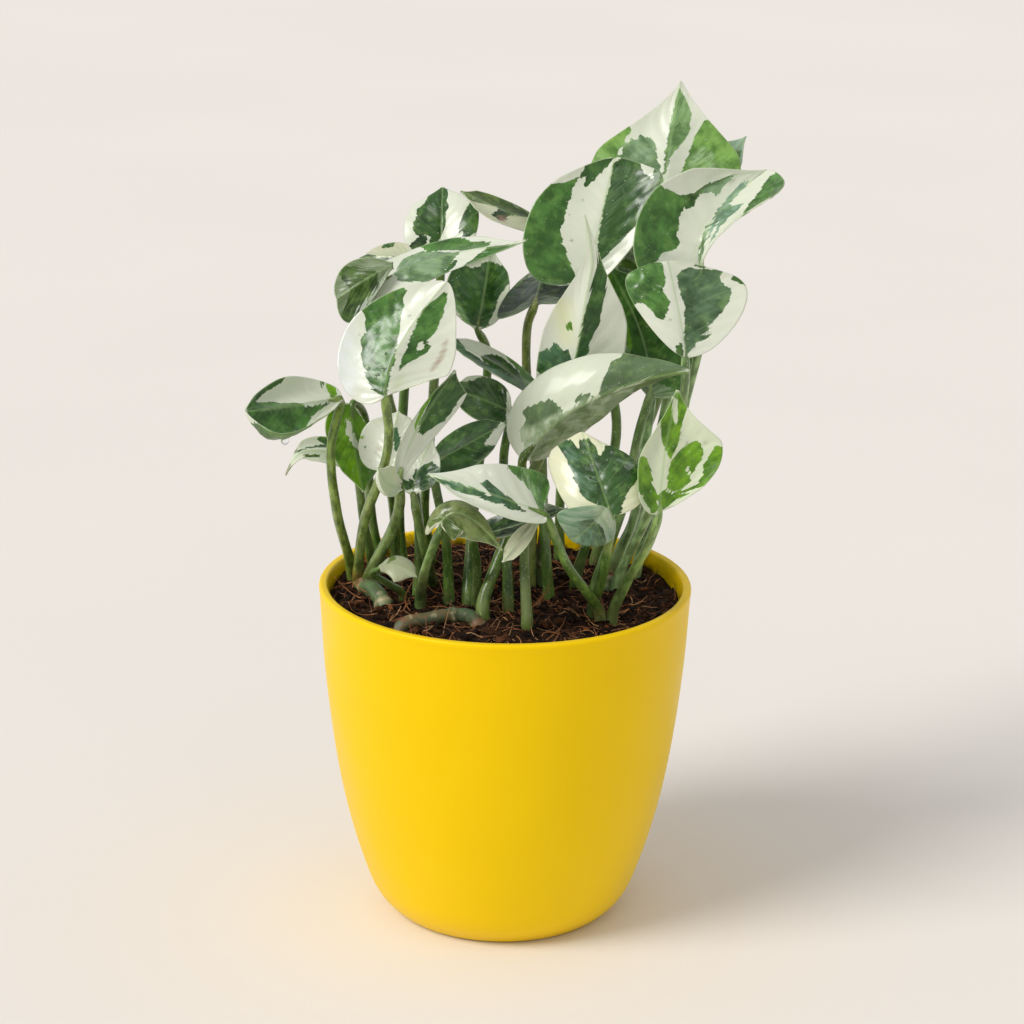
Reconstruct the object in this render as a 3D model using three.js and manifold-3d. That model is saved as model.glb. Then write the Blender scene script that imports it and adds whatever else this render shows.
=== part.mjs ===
// A potted pothos with small cream and green leaves, in a plain yellow pot.
// Millimetres, +Z up. The origin is the middle of the pot's flat base, and the viewer stands at -Y.

import * as THREE from 'three';
import { mergeVertices } from 'three/addons/utils/BufferGeometryUtils.js';
import Module from 'manifold-3d';

const wasm = await Module();
wasm.setup();

// Driving dimensions of the pot
const POT_HEIGHT = 111;
const RIM_RADIUS = 60;
const BASE_RADIUS = 34.5;
const WALL = 3;
const FLOOR = 3;
const DRAIN_RADIUS = 3.5;
const DRAIN_RING = 19;
const DRAIN_COUNT = 4;
const POT_SEGMENTS = 36;
const DRAIN_SIDES = 12;

// Driving dimensions of the plant
const SOIL_LEVEL = 105;
const GAP = 0.3;
const PETIOLE_RADIUS = 1.6;
const PETIOLE_SIDES = 5;
const PETIOLE_STEP = 16;
const PETIOLE_SINK = 9;
const HOLE_RADIUS = 2.8;
const HOLE_SIDES = 6;
const STEM_SIDES = 8;
const STEM_STEPS = 10;
const RING_HEIGHT = 0.5;
const RING_WIDTH = 1;
const RING_SIDES = 10;
const BLADE_THICKNESS = 0.7;
const BLADE_ROWS = [0.05, 0.16, 0.29, 0.43, 0.57, 0.71, 0.84, 0.93, 0.985];
const BLADE_COLUMNS = [0.5, 1];
const OVAL_FULLNESS = 0.62;
const LOBE_END = 0.55;

const YELLOW = 0xf2c230;
const SOIL_BROWN = 0x3a2a1e;
const STEM_GREEN = 0x6f8a45;
const CREAM = 0xdde3cd;
const GREEN = 0x3f6a2c;
const DARK = 0x22391a;
const LIME = 0x86a63c;

// Outer profile of the pot, each point as [height, radius]: a rounded foot, then a wall that leans out
const OUTER_PROFILE = [
  [0, BASE_RADIUS],
  [1.7, 37.3],
  [4.5, 40.1],
  [9, 42.9],
  [16, 45.5],
  [27, 48.9],
  [43, 52.7],
  [63, 55.9],
  [85, 58.3],
  [103, 59.4],
  [108, 59.7],
];

// Each leaf has a blade and its petiole. The blade is set by five points: base, a point halfway along the
// midrib, tip, and the widest point of the left and of the right margin, as seen on the upper face with the
// tip up. The foot is where the petiole enters the soil, and via are points on its way up to the blade.
// widest gives where along the midrib the two sides are widest, lobe how far each side reaches back at the
// base, cup how hollow each side is in mm, wave the margin's waves in mm, hook the bend of the tip in mm,
// shoulder and point where and how much each side narrows to the tip, and stalk the petiole's radius.
const LEAVES = {
  cup_left: {
    blade: [[-52, -9, 174], [-66, -25, 176], [-79, -39, 178], [-67, -45, 173], [-68, -14, 182]],
    foot: [-50, 14], via: [[-54, -8, 138], [-55, -15, 160]],
    widest: [0.6, 0.55], lobe: [0.05, 0.05], cup: [6, 3], wave: 0.4, point: [0.3, 0], colour: CREAM,
  },
  droop_left: {
    blade: [[-48, 4, 149], [-58, 0, 154], [-69, -6, 154], [-54, -4, 150], [-57, 8, 156]],
    foot: [-43, 16], via: [[-46, 8, 128]],
    widest: [0.35, 0.4], lobe: [0, 0], cup: [1, 1], hook: [-1, -2, -6], colour: CREAM,
  },
  lime_hang: {
    blade: [[-49, -1, 170], [-48, -6, 157], [-45, -12, 144], [-41, -1, 153], [-57, -7, 163]],
    foot: [-41, 22], via: [[-44, 20, 126], [-46, 10, 163]],
    widest: [0.6, 0.3], lobe: [0, 0], cup: [1, 1], wave: 0.5, colour: LIME,
  },
  big_white: {
    blade: [[-37, -42, 184], [-33, -36, 198], [-19, -26, 216], [-50, -30, 201], [-17, -36, 191]],
    foot: [-48, 9], via: [[-45, -8, 133], [-38, -26, 157], [-36, -38, 172]],
    widest: [0.58, 0.33], lobe: [0.1, 0.15], cup: [1.5, 1.5], wave: 0.3, point: [0, 0], colour: CREAM,
  },
  fold_white: {
    blade: [[-33, -36, 155], [-28, -32, 170], [-16, -26, 188], [-32, -34, 169], [-15, -26, 176]],
    foot: [-45, 4], via: [[-36, -10, 131], [-33, -26, 146]],
    widest: [0.3, 0.6], lobe: [0, 0.05], cup: [1, 1], stalk: 1.9, colour: CREAM,
  },
  small_white: {
    blade: [[-38, -20, 154], [-36, -16, 163], [-34, -13, 171], [-46, -14, 163], [-30, -16, 165]],
    foot: [-36, 16], via: [[-36, 8, 128], [-37, -9, 146]],
    widest: [0.45, 0.45], lobe: [0.1, 0.1], cup: [1, 1], colour: CREAM,
  },
  teal_white: {
    blade: [[-29, -26, 149], [-27, -22, 156], [-23, -18, 164], [-33, -22, 155], [-21, -25, 154]],
    foot: [-24, 8], via: [[-26, -16, 128]],
    widest: [0.4, 0.4], lobe: [0.05, 0.05], cup: [0.5, 0.5], colour: CREAM,
  },
  dark_tip: {
    blade: [[-23, -14, 155], [-11, -11, 161], [0, -6, 166], [-14, -1, 163], [-11, -19, 155]],
    foot: [-18, -7], via: [[-19, -10, 128]],
    widest: [0.4, 0.45], lobe: [0.1, 0.1], cup: [1, 1], colour: DARK,
  },
  front_white: {
    blade: [[12, -46, 149], [-5, -52, 157], [-24, -46, 161], [-2, -58, 152], [5, -36, 161]],
    foot: [30, -21], via: [[19, -39, 130]],
    widest: [0.4, 0.25], lobe: [0.05, 0.2], cup: [1.5, 1.5], wave: 0.3, colour: CREAM,
  },
  pale_fold: {
    blade: [[-20, -46, 145], [-13, -46, 148], [-1, -50, 138], [-17, -40, 151], [-14, -52, 143]],
    foot: [-27, -8], via: [[-25, -28, 124]],
    widest: [0.3, 0.3], lobe: [0.3, 0.3], cup: [-1, -1], colour: LIME,
  },
  under_dark: {
    blade: [[-10, -30, 136], [4, -32, 141], [19, -38, 148], [4, -26, 144], [2, -36, 139]],
    foot: [-9, -10], via: [[-9, -11, 110], [-9, -22, 124]],
    widest: [0.45, 0.45], lobe: [0.1, 0.1], cup: [1, 1], colour: DARK,
  },
  round_patch: {
    blade: [[32, -48, 149], [28, -42, 159], [23, -30, 170], [13, -36, 160], [42, -40, 159]],
    foot: [28, -14], via: [[30, -28, 121]],
    widest: [0.5, 0.45], lobe: [0.5, 0.05], cup: [-2, -1], wave: 0.5, point: [0.4, 0.4], colour: GREEN,
  },
  lime_right: {
    blade: [[47, -44, 149], [48, -38, 165], [52, -30, 184], [40, -45, 163], [66, -34, 164]],
    foot: [34, -20], via: [[38, -26, 120], [44, -38, 137]],
    widest: [0.42, 0.33], lobe: [0.04, 0], cup: [2, 2], wave: 0.4,
    shoulder: 0.5, point: [0.7, 0.75], colour: LIME,
  },
  boat: {
    blade: [[5, -18, 158], [25, -22, 178], [56, -20, 187], [24, -12, 165], [13, -12, 185]],
    foot: [7, -29], via: [[6, -24, 124], [6, -14, 145]],
    widest: [0.35, 0.33], lobe: [0.05, 0.1], cup: [0.5, 2], wave: 0.4,
    shoulder: 0.5, point: [0.85, 0.3], colour: CREAM,
  },
  tall_point: {
    blade: [[19, -8, 174], [23, -4, 199], [27, 2, 224], [10, -4, 192], [37, -2, 191]],
    foot: [-7, -20], via: [[-7, -19, 110], [-3, -14, 121], [4, -5, 138], [13, -6, 161]],
    widest: [0.35, 0.3], lobe: [0.1, 0.1], cup: [1.5, 1.5], hook: [-4, -2, 8],
    shoulder: 0.45, point: [0.85, 0.85], stalk: 1.9, colour: CREAM,
  },
  top_light: {
    blade: [[48, 32, 227], [51, 46, 243], [55, 62, 263], [25, 44, 237], [75, 46, 234]],
    foot: [36, 30], via: [[42, 29, 123], [45, 28, 148], [47, 28, 168], [47, 30, 197]],
    widest: [0.33, 0.33], lobe: [0.1, 0.1], cup: [2, 2], wave: 0.5,
    shoulder: 0.5, point: [0.9, 0.7], colour: LIME,
  },
  tip_behind: {
    blade: [[59, 56, 220], [68, 61, 232], [77, 62, 245], [62, 66, 234], [71, 58, 227]],
    foot: [38, 33], via: [[44, 33, 124], [52, 42, 157], [56, 52, 192]],
    widest: [0.4, 0.4], lobe: [0.1, 0.1], cup: [1, 1], colour: GREEN,
  },
  centre_large: {
    blade: [[25, 10, 208], [29, 18, 228], [33, 28, 244], [5, 14, 226], [48, 20, 236]],
    foot: [23, 14], via: [[30, 12, 132], [35, 10, 161], [28, 10, 189]],
    widest: [0.4, 0.6], lobe: [0.12, 0.12], cup: [2, 2], wave: 0.6, point: [0.3, 0.4], colour: GREEN,
  },
  right_upper: {
    blade: [[60, 6, 214], [63, 12, 227], [81, 22, 242], [40, 4, 231], [82, 2, 238]],
    foot: [43, 22], via: [[51, 21, 139], [58, 21, 169], [62, 17, 193]],
    widest: [0.4, 0.75], lobe: [0.15, 0.1], cup: [2, 2], wave: 0.6, point: [0.75, 0], colour: GREEN,
  },
  shade_under: {
    blade: [[8, 6, 202], [10, 21, 206], [11, 35, 208], [-3, 13, 199], [22, 18, 206]],
    foot: [8, 10], via: [[9, 14, 145], [6, 14, 175], [6, 11, 193]],
    widest: [0.3, 0.35], lobe: [0.15, 0.15], cup: [1, 1], colour: DARK,
  },
  heart_right: {
    blade: [[55, -16, 191], [52, -10, 206], [49, -4, 218], [36, -8, 211], [74, -4, 209]],
    foot: [36, 8], via: [[51, -4, 150], [55, -12, 179]],
    widest: [0.6, 0.6], lobe: [0.08, 0.08], cup: [-1, 2], wave: 0.4, point: [0.3, 0.2], colour: GREEN,
  },
  dark_behind: {
    blade: [[45, 4, 173], [42, 10, 191], [31, 14, 212], [32, 12, 194], [57, 12, 195]],
    foot: [29, 4], via: [[37, 4, 134], [42, 2, 162]],
    widest: [0.5, 0.5], lobe: [0.1, 0.1], cup: [1, 1], colour: DARK,
  },
  cream_behind: {
    blade: [[51, 20, 205], [39, 22, 212], [29, 24, 216], [37, 18, 208], [38, 28, 217]],
    foot: [30, 36], via: [[38, 38, 129], [48, 38, 158], [54, 26, 186]],
    widest: [0.4, 0.4], lobe: [0.1, 0.1], cup: [1, 1], colour: CREAM,
  },
  arch_left: {
    blade: [[-44, -8, 209], [-20, -4, 219], [5, -6, 222], [-27, 10, 219], [-34, -14, 208]],
    foot: [-28, 0], via: [[-28, 1, 130], [-32, 6, 150], [-38, 6, 170], [-40, 2, 195]],
    widest: [0.4, 0.25], lobe: [0.1, 0.05], cup: [2, 1], hook: [0, -1, 3], colour: GREEN,
  },
  back_patch: {
    blade: [[-22, 26, 210], [-22, 32, 221], [-22, 42, 231], [-34, 30, 220], [-10, 30, 224]],
    foot: [-25, 34], via: [[-27, 32, 124], [-25, 28, 153], [-23, 26, 187]],
    widest: [0.45, 0.5], lobe: [0.1, 0.1], cup: [-1, -1], colour: CREAM,
  },
  olive_sliver: {
    blade: [[11, 26, 222], [-3, 24, 228], [-16, 25, 233], [-2, 18, 224], [-3, 30, 230]],
    foot: [18, 42], via: [[18, 43, 127], [20, 44, 164], [20, 42, 198]],
    widest: [0.4, 0.4], lobe: [0.05, 0.05], cup: [1, 1], colour: CREAM,
  },
  small_far: {
    blade: [[-30, 18, 212], [-39, 20, 213], [-48, 24, 211], [-41, 16, 210], [-36, 26, 216]],
    foot: [-34, 25], via: [[-35, 24, 125], [-34, 22, 159], [-32, 20, 189]],
    widest: [0.4, 0.25], lobe: [0.05, 0.05], cup: [1, 1], colour: CREAM,
  },
  dark_middle: {
    blade: [[-10, 16, 191], [-8, 22, 201], [-6, 32, 214], [-20, 22, 204], [0, 23, 200]],
    foot: [-12, -6], via: [[-12, -4, 111], [-11, 5, 126], [-8, 19, 157], [-7, 22, 182]],
    widest: [0.55, 0.5], lobe: [0.05, 0.05], cup: [1, 1], colour: DARK,
  },
  teal_mid: {
    blade: [[9, 6, 173], [-6, 2, 184], [-21, 2, 191], [-5, -6, 182], [-3, 9, 185]],
    foot: [14, -2], via: [[12, 0, 132], [11, 4, 155]],
    widest: [0.45, 0.4], lobe: [0.1, 0.1], cup: [1, 1], colour: GREEN,
  },
  grey_stripe: {
    blade: [[1, 6, 166], [-7, 8, 169], [-19, 12, 172], [-9, 2, 164], [-6, 14, 175]],
    foot: [1, -9], via: [[0, -2, 130], [-1, 4, 152]],
    widest: [0.45, 0.4], lobe: [0.1, 0.1], cup: [1, 1], colour: GREEN,
  },
  withered: {
    blade: [[-39, -16, 120], [-34, -16, 121], [-28, -18, 118], [-35, -20, 117], [-33, -12, 123]],
    foot: [-33, -3], via: [[-37, -8, 112], [-42, -14, 118]],
    widest: [0.4, 0.4], lobe: [0, 0], cup: [0.5, 0.5], stalk: 1.3, colour: CREAM,
  },
};

// Folded-over lobes and small rolled blades that grow from another leaf's base
const LOBES = {
  arch_left: {
    blade: [[-36, -9, 217], [-44, -12, 213], [-53, -14, 207], [-47, -16, 201], [-50, -8, 217]],
    widest: [0.5, 0.5], lobe: [0, 0], cup: [1, 1], point: [0, 0],
  },
  round_patch: {
    blade: [[30, -48, 152], [25, -50, 146], [20, -50, 142], [32, -47, 141], [16, -51, 151]],
    widest: [0.5, 0.5], lobe: [0, 0], cup: [-1, -1], point: [0, 0],
  },
  front_white: {
    blade: [[9, -45, 146], [4, -49, 141], [-1, -52, 135], [6, -50, 139], [2, -46, 142]],
    widest: [0.4, 0.4], lobe: [0, 0], cup: [1, 1],
  },
  fold_white: {
    blade: [[-32, -36, 154], [-36, -41, 156], [-39, -44, 162], [-37, -46, 155], [-34, -40, 161]],
    widest: [0.4, 0.4], lobe: [0, 0], cup: [2, 2],
  },
};

// The vine's short rooted stems. Each follows its points, and rings are the scars of old leaves,
// given as the share of the way along.
const STEMS = {
  stem_left: {
    path: [[-48, 15, 98], [-47, 9, 105], [-44, 1, 108], [-39, -9, 106], [-36, -15, 98]],
    radius: 2.9, rings: [0.4, 0.75],
  },
  stem_front: {
    path: [
      [-35, -32, 99], [-32, -30, 106], [-24, -26, 107], [-16, -22, 107], [-10, -22, 106], [-6, -26, 99],
    ],
    radius: 2.3, rings: [0.62, 0.84],
  },
  stem_upright: {
    path: [[11, 14, 92], [11, 14, 104], [12, 13, 115], [13, 11, 126]],
    radius: 2.1, rings: [0.62],
  },
  stem_right: {
    path: [[29, 4, 98], [32, 8, 106], [37, 12, 107], [42, 13, 99]],
    radius: 2.2, rings: [0.5],
  },
};

const vector = (point) => new THREE.Vector3(...point);

function toManifold(geometry) {
  geometry.deleteAttribute('normal');
  geometry.deleteAttribute('uv');
  const merged = mergeVertices(geometry, 1e-4);
  return new wasm.Manifold(new wasm.Mesh({
    numProp: 3,
    vertProperties: Float32Array.from(merged.attributes.position.array),
    triVerts: Uint32Array.from(merged.index.array),
  }));
}

function largestBody(solid) {
  const bodies = solid.decompose();
  return bodies.reduce((best, body) => (body.volume() > best.volume() ? body : best));
}

function toMesh(solid, name, colour, roughness) {
  const { vertProperties, triVerts } = largestBody(solid).getMesh();
  const geometry = new THREE.BufferGeometry();
  geometry.setAttribute('position', new THREE.Float32BufferAttribute(vertProperties, 3));
  geometry.setIndex(Array.from(triVerts));
  geometry.computeVertexNormals();
  const material = new THREE.MeshStandardMaterial({ color: colour, roughness, metalness: 0 });
  const mesh = new THREE.Mesh(geometry, material);
  mesh.name = name;
  return mesh;
}

// A point of the midrib, from the base at 0 to the tip at 1, on a parabola through the three points
function midribPoint(blade, hook, along) {
  const [base, middle, tip] = blade.map(vector);
  const control = middle.clone().multiplyScalar(2).sub(base.clone().add(tip).multiplyScalar(0.5));
  const rest = 1 - along;
  const point = base.multiplyScalar(rest * rest);
  point.addScaledVector(control, 2 * rest * along);
  point.addScaledVector(tip, along * along);
  const bend = Math.max(0, (along - 0.8) / 0.2);
  return point.addScaledVector(vector(hook), bend * bend);
}

function midribDirection(blade, along) {
  const none = [0, 0, 0];
  const clamped = Math.min(Math.max(along, -0.1), 0.97);
  return midribPoint(blade, none, clamped + 0.02).sub(midribPoint(blade, none, clamped - 0.02)).normalize();
}

// Half-breadth of a blade, from 0 at the base to 1 where it is widest, then narrowing to the drawn-out tip
function halfBreadth(along, widest, shoulder, point) {
  const power = Math.log(0.5) / Math.log(widest);
  const oval = Math.sin(Math.PI * along ** power) ** OVAL_FULLNESS;
  const narrowing = Math.max(0, (along - shoulder) / (1 - shoulder));
  return oval * (1 - point * narrowing ** 1.2);
}

// A point of the blade's middle surface. across runs from -1 at the left margin to 1 at the right one.
function bladePoint(leaf, along, across) {
  const hook = leaf.hook ?? [0, 0, 0];
  const side = across < 0 ? 0 : 1;
  const share = Math.abs(across);
  const widest = leaf.widest[side];
  const reach = Math.sin(Math.PI * Math.min((along / LOBE_END) ** 0.6, 1));
  const station = along - leaf.lobe[side] * reach * share;
  const point = midribPoint(leaf.blade, hook, station);
  const sideVector = vector(leaf.blade[3 + side]).sub(midribPoint(leaf.blade, hook, widest));
  const turn = new THREE.Quaternion().setFromUnitVectors(
    midribDirection(leaf.blade, widest),
    midribDirection(leaf.blade, station),
  );
  sideVector.applyQuaternion(turn);
  const pointed = (leaf.point ?? [0.75, 0.75])[side];
  const breadth = halfBreadth(along, widest, leaf.shoulder ?? 0.75, pointed);
  const direction = midribDirection(leaf.blade, station);
  const upward = side === 0 ? direction.cross(sideVector) : sideVector.clone().cross(direction);
  upward.normalize();
  point.addScaledVector(sideVector, breadth * share);
  point.addScaledVector(upward, -leaf.cup[side] * 4 * share * (1 - share) * breadth);
  const wave = (leaf.wave ?? 0) * share * share * breadth;
  return point.addScaledVector(upward, wave * Math.sin(9 * along + 2 * side));
}

function bladeNormal(leaf, along, across) {
  const step = 0.01;
  const forward = bladePoint(leaf, along + step, across).sub(bladePoint(leaf, along - step, across));
  const reach = across < 0 ? bladePoint(leaf, along, across + 0.1).sub(bladePoint(leaf, along, across))
    : bladePoint(leaf, along, across).sub(bladePoint(leaf, along, across - 0.1));
  if (across === 0) {
    reach.copy(bladePoint(leaf, along, 0.1)).sub(bladePoint(leaf, along, -0.1));
  }
  return reach.cross(forward).normalize();
}

// A blade is a thin closed sheet: the upper face, the lower face and the margin between them
function bladeGeometry(leaf) {
  const across = [...BLADE_COLUMNS.map((share) => -share).reverse(), 0, ...BLADE_COLUMNS];
  const width = across.length;
  const height = BLADE_ROWS.length;
  const positions = [];
  for (const side of [1, -1]) {
    for (const along of BLADE_ROWS) {
      for (const share of across) {
        const point = bladePoint(leaf, along, share);
        point.addScaledVector(bladeNormal(leaf, along, share), side * BLADE_THICKNESS / 2);
        positions.push(point.x, point.y, point.z);
      }
    }
  }
  const index = [];
  const below = width * height;
  const addQuad = (a, b, c, d) => index.push(a, b, c, a, c, d);
  for (let row = 0; row < height - 1; row += 1) {
    for (let column = 0; column < width - 1; column += 1) {
      const a = row * width + column;
      const b = a + 1;
      const c = b + width;
      const d = a + width;
      addQuad(a, b, c, d);
      index.push(below + a, below + c, below + b, below + a, below + d, below + c);
    }
  }
  const margin = [];
  for (let column = 0; column < width; column += 1) margin.push(column);
  for (let row = 1; row < height; row += 1) margin.push(row * width + width - 1);
  for (let column = width - 2; column >= 0; column -= 1) margin.push((height - 1) * width + column);
  for (let row = height - 2; row > 0; row -= 1) margin.push(row * width);
  margin.forEach((from, place) => {
    const to = margin[(place + 1) % margin.length];
    addQuad(to, from, below + from, below + to);
  });
  const geometry = new THREE.BufferGeometry();
  geometry.setAttribute('position', new THREE.Float32BufferAttribute(positions, 3));
  geometry.setIndex(index);
  return geometry;
}

function circle(radius, sides) {
  const points = [];
  for (let turn = 0; turn < sides; turn += 1) {
    const angle = 2 * Math.PI * turn / sides;
    points.push(new THREE.Vector2(radius * Math.cos(angle), radius * Math.sin(angle)));
  }
  return new THREE.Shape(points);
}

function rod(curve, radius, sides, steps) {
  const geometry = new THREE.ExtrudeGeometry(circle(radius, sides), {
    steps,
    bevelEnabled: false,
    extrudePath: curve,
  });
  return toManifold(geometry);
}

// A petiole rises from the soil, passes its points and ends under the first part of the midrib
function petioleCurve(leaf) {
  const [x, y] = leaf.foot;
  const end = bladePoint(leaf, 0.1, 0).addScaledVector(bladeNormal(leaf, 0.1, 0), -0.9);
  const base = vector(leaf.blade[0]).addScaledVector(bladeNormal(leaf, 0.05, 0), -1);
  return new THREE.CatmullRomCurve3([
    new THREE.Vector3(x, y, SOIL_LEVEL - PETIOLE_SINK),
    new THREE.Vector3(x, y, SOIL_LEVEL + 2),
    ...leaf.via.map(vector),
    base,
    end,
  ], false, 'centripetal');
}

function petiole(leaf) {
  const curve = petioleCurve(leaf);
  const steps = Math.ceil(curve.getLength() / PETIOLE_STEP) + 1;
  return rod(curve, leaf.stalk ?? PETIOLE_RADIUS, PETIOLE_SIDES, steps);
}

// The plain hole that a petiole stands in
function petioleHole(leaf) {
  const [x, y] = leaf.foot;
  const depth = 2 * PETIOLE_SINK;
  const hole = new THREE.CylinderGeometry(HOLE_RADIUS, HOLE_RADIUS, depth, HOLE_SIDES);
  hole.rotateX(Math.PI / 2);
  hole.translate(x, y, SOIL_LEVEL - PETIOLE_SINK - GAP + depth / 2);
  return toManifold(hole);
}

// The course of a piece of vine, with both of its ends moved outward by extra
function stemCurve(part, extra) {
  const points = part.path.map(vector);
  const [first, second] = points;
  const [beforeLast, last] = points.slice(-2);
  first.addScaledVector(first.clone().sub(second).normalize(), extra);
  last.addScaledVector(last.clone().sub(beforeLast).normalize(), extra);
  return new THREE.CatmullRomCurve3(points, false, 'centripetal');
}

function stem(part) {
  const curve = stemCurve(part, 0);
  let solid = rod(curve, part.radius, STEM_SIDES, STEM_STEPS);
  const across = part.radius + RING_HEIGHT;
  for (const share of part.rings) {
    const ring = new THREE.CylinderGeometry(across, across, RING_WIDTH, RING_SIDES);
    const along = curve.getTangentAt(share);
    ring.applyQuaternion(new THREE.Quaternion().setFromUnitVectors(new THREE.Vector3(0, 1, 0), along));
    ring.translate(...curve.getPointAt(share).toArray());
    solid = solid.add(toManifold(ring));
  }
  return solid;
}

function lathe(profile) {
  const points = profile.map(([height, radius]) => new THREE.Vector2(radius, height));
  const geometry = new THREE.LatheGeometry(points, POT_SEGMENTS);
  geometry.rotateX(Math.PI / 2);
  return geometry;
}

// The inner wall follows every other point of the outer one
function innerProfile(inset) {
  return OUTER_PROFILE
    .filter(([height], place) => height > FLOOR + 4 && place % 2 === 0)
    .map(([height, radius]) => [height, radius - WALL - inset]);
}

// The pot is one turned shell with a rounded lip and drain holes in its floor
function makePot() {
  const lip = [
    [POT_HEIGHT - 1.4, RIM_RADIUS - 0.1],
    [POT_HEIGHT - 0.4, RIM_RADIUS - 0.3],
    [POT_HEIGHT, RIM_RADIUS - 0.9],
    [POT_HEIGHT, RIM_RADIUS - 2.2],
    [POT_HEIGHT - 0.5, RIM_RADIUS - 2.9],
  ];
  const inside = innerProfile(0).reverse();
  const profile = [
    [0, 0],
    ...OUTER_PROFILE,
    ...lip,
    ...inside,
    [FLOOR, inside[inside.length - 1][1] - 3],
    [FLOOR, 0],
  ];
  let pot = toManifold(lathe(profile));
  for (let hole = 0; hole < DRAIN_COUNT; hole += 1) {
    const angle = 2 * Math.PI * (hole + 0.5) / DRAIN_COUNT;
    const drain = new THREE.CylinderGeometry(DRAIN_RADIUS, DRAIN_RADIUS, 3 * FLOOR, DRAIN_SIDES);
    drain.rotateX(Math.PI / 2);
    drain.translate(DRAIN_RING * Math.cos(angle), DRAIN_RING * Math.sin(angle), FLOOR / 2);
    pot = pot.subtract(toManifold(drain));
  }
  return pot;
}

// Height of the soil above its level: a little higher at the back left, with lumps
function soilRelief(x, y) {
  const slope = 0.6 * (y - x) / RIM_RADIUS;
  const lumps = 0.8 * Math.sin(0.21 * x + 1) * Math.sin(0.17 * y) + 0.5 * Math.sin(0.43 * x - 0.37 * y);
  return slope + lumps;
}

function makeSoil(cutters) {
  const top = SOIL_LEVEL;
  const wallAt = (height) => {
    const wall = innerProfile(GAP + 0.1);
    const upper = wall.findIndex(([level]) => level > height);
    const [h0, r0] = wall[upper - 1];
    const [h1, r1] = wall[upper];
    return r0 + (r1 - r0) * (height - h0) / (h1 - h0);
  };
  const edge = wallAt(top) - 0.4;
  const rings = [1, 0.78, 0.55, 0.3];
  const side = innerProfile(GAP + 0.1).filter(([height]) => height < top - 6);
  const profile = [
    [FLOOR + GAP, 0],
    [FLOOR + GAP, side[0][1] - 3.4],
    ...side,
    [top - 4, wallAt(top - 4)],
    ...rings.map((share) => [top, edge * share]),
    [top, 0],
  ];
  const geometry = lathe(profile);
  const positions = geometry.attributes.position;
  for (let i = 0; i < positions.count; i += 1) {
    if (positions.getZ(i) > top - 1) {
      positions.setZ(i, top + soilRelief(positions.getX(i), positions.getY(i)));
    }
  }
  return toManifold(geometry).subtract(cutters);
}

// The pieces of vine go in first. Leaves and soil are cut clear of them.
const plant = new THREE.Group();
plant.add(toMesh(makePot(), 'pot', YELLOW, 0.4));

const vineCutters = [];
for (const [name, part] of Object.entries(STEMS)) {
  plant.add(toMesh(stem(part), name, STEM_GREEN, 0.5));
  const clearance = 2 * RING_HEIGHT + GAP;
  vineCutters.push(rod(stemCurve(part, GAP), part.radius + clearance, STEM_SIDES, STEM_STEPS));
}
const vine = vineCutters.reduce((all, cutter) => all.add(cutter));

let cutters = vine;
for (const [name, leaf] of Object.entries(LEAVES)) {
  let solid = toManifold(bladeGeometry(leaf)).add(petiole(leaf));
  if (LOBES[name]) solid = solid.add(toManifold(bladeGeometry(LOBES[name])));
  plant.add(toMesh(solid.subtract(vine), `leaf_${name}`, leaf.colour, 0.4));
  cutters = cutters.add(petioleHole(leaf));
}
plant.add(toMesh(makeSoil(cutters), 'soil', SOIL_BROWN, 0.95));

export default plant;
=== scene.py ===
import math
import random
from itertools import combinations

import bpy
import numpy as np
from mathutils import Matrix, Vector, noise


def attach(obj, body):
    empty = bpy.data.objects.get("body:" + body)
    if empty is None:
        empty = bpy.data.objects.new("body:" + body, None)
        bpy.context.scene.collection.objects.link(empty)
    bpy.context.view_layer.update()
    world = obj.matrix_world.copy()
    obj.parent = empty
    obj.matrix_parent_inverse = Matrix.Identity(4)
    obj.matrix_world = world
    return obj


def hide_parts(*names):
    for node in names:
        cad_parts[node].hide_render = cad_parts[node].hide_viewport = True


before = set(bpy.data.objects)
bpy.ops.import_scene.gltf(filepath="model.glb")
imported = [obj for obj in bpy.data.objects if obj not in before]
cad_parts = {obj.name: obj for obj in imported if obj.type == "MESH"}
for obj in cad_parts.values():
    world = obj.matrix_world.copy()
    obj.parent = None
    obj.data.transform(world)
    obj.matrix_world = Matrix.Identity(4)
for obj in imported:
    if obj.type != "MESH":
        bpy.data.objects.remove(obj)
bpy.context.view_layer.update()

# The plant's sizes are in millimetres, and MM turns them into metres
MM = 0.001

# The camera, fitted to the pot's rim and base in the photo. PHOTO_SIZE is in pixels.
CAMERA_PLACE = (0, -0.9276, 0.4337)
CAMERA_PITCH = math.radians(17.885)
CAMERA_YAW = math.radians(0.115)
CAMERA_ROLL = math.radians(0.83)
LENS = 107.16
SENSOR = 36
PHOTO_SIZE = 1024

# Sizes of the pot and the plant, as in the solids
RIM_RADIUS = 60
WALL = 3
FLOOR = 3
DRAIN_RADIUS = 3.5
DRAIN_RING = 19
DRAIN_COUNT = 4
SOIL_LEVEL = 105
PETIOLE_SINK = 9
OVAL_FULLNESS = 0.62
LOBE_END = 0.55

# What a leaf has where its row says nothing else
PLAIN_LEAF = dict(
    widest=[0.4, 0.4], lobe=[0.1, 0.1], cup=[1, 1], wave=0, hook=[0, 0, 0], shoulder=0.75,
    point=[0.75, 0.75], stalk=1.6,
)

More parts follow.
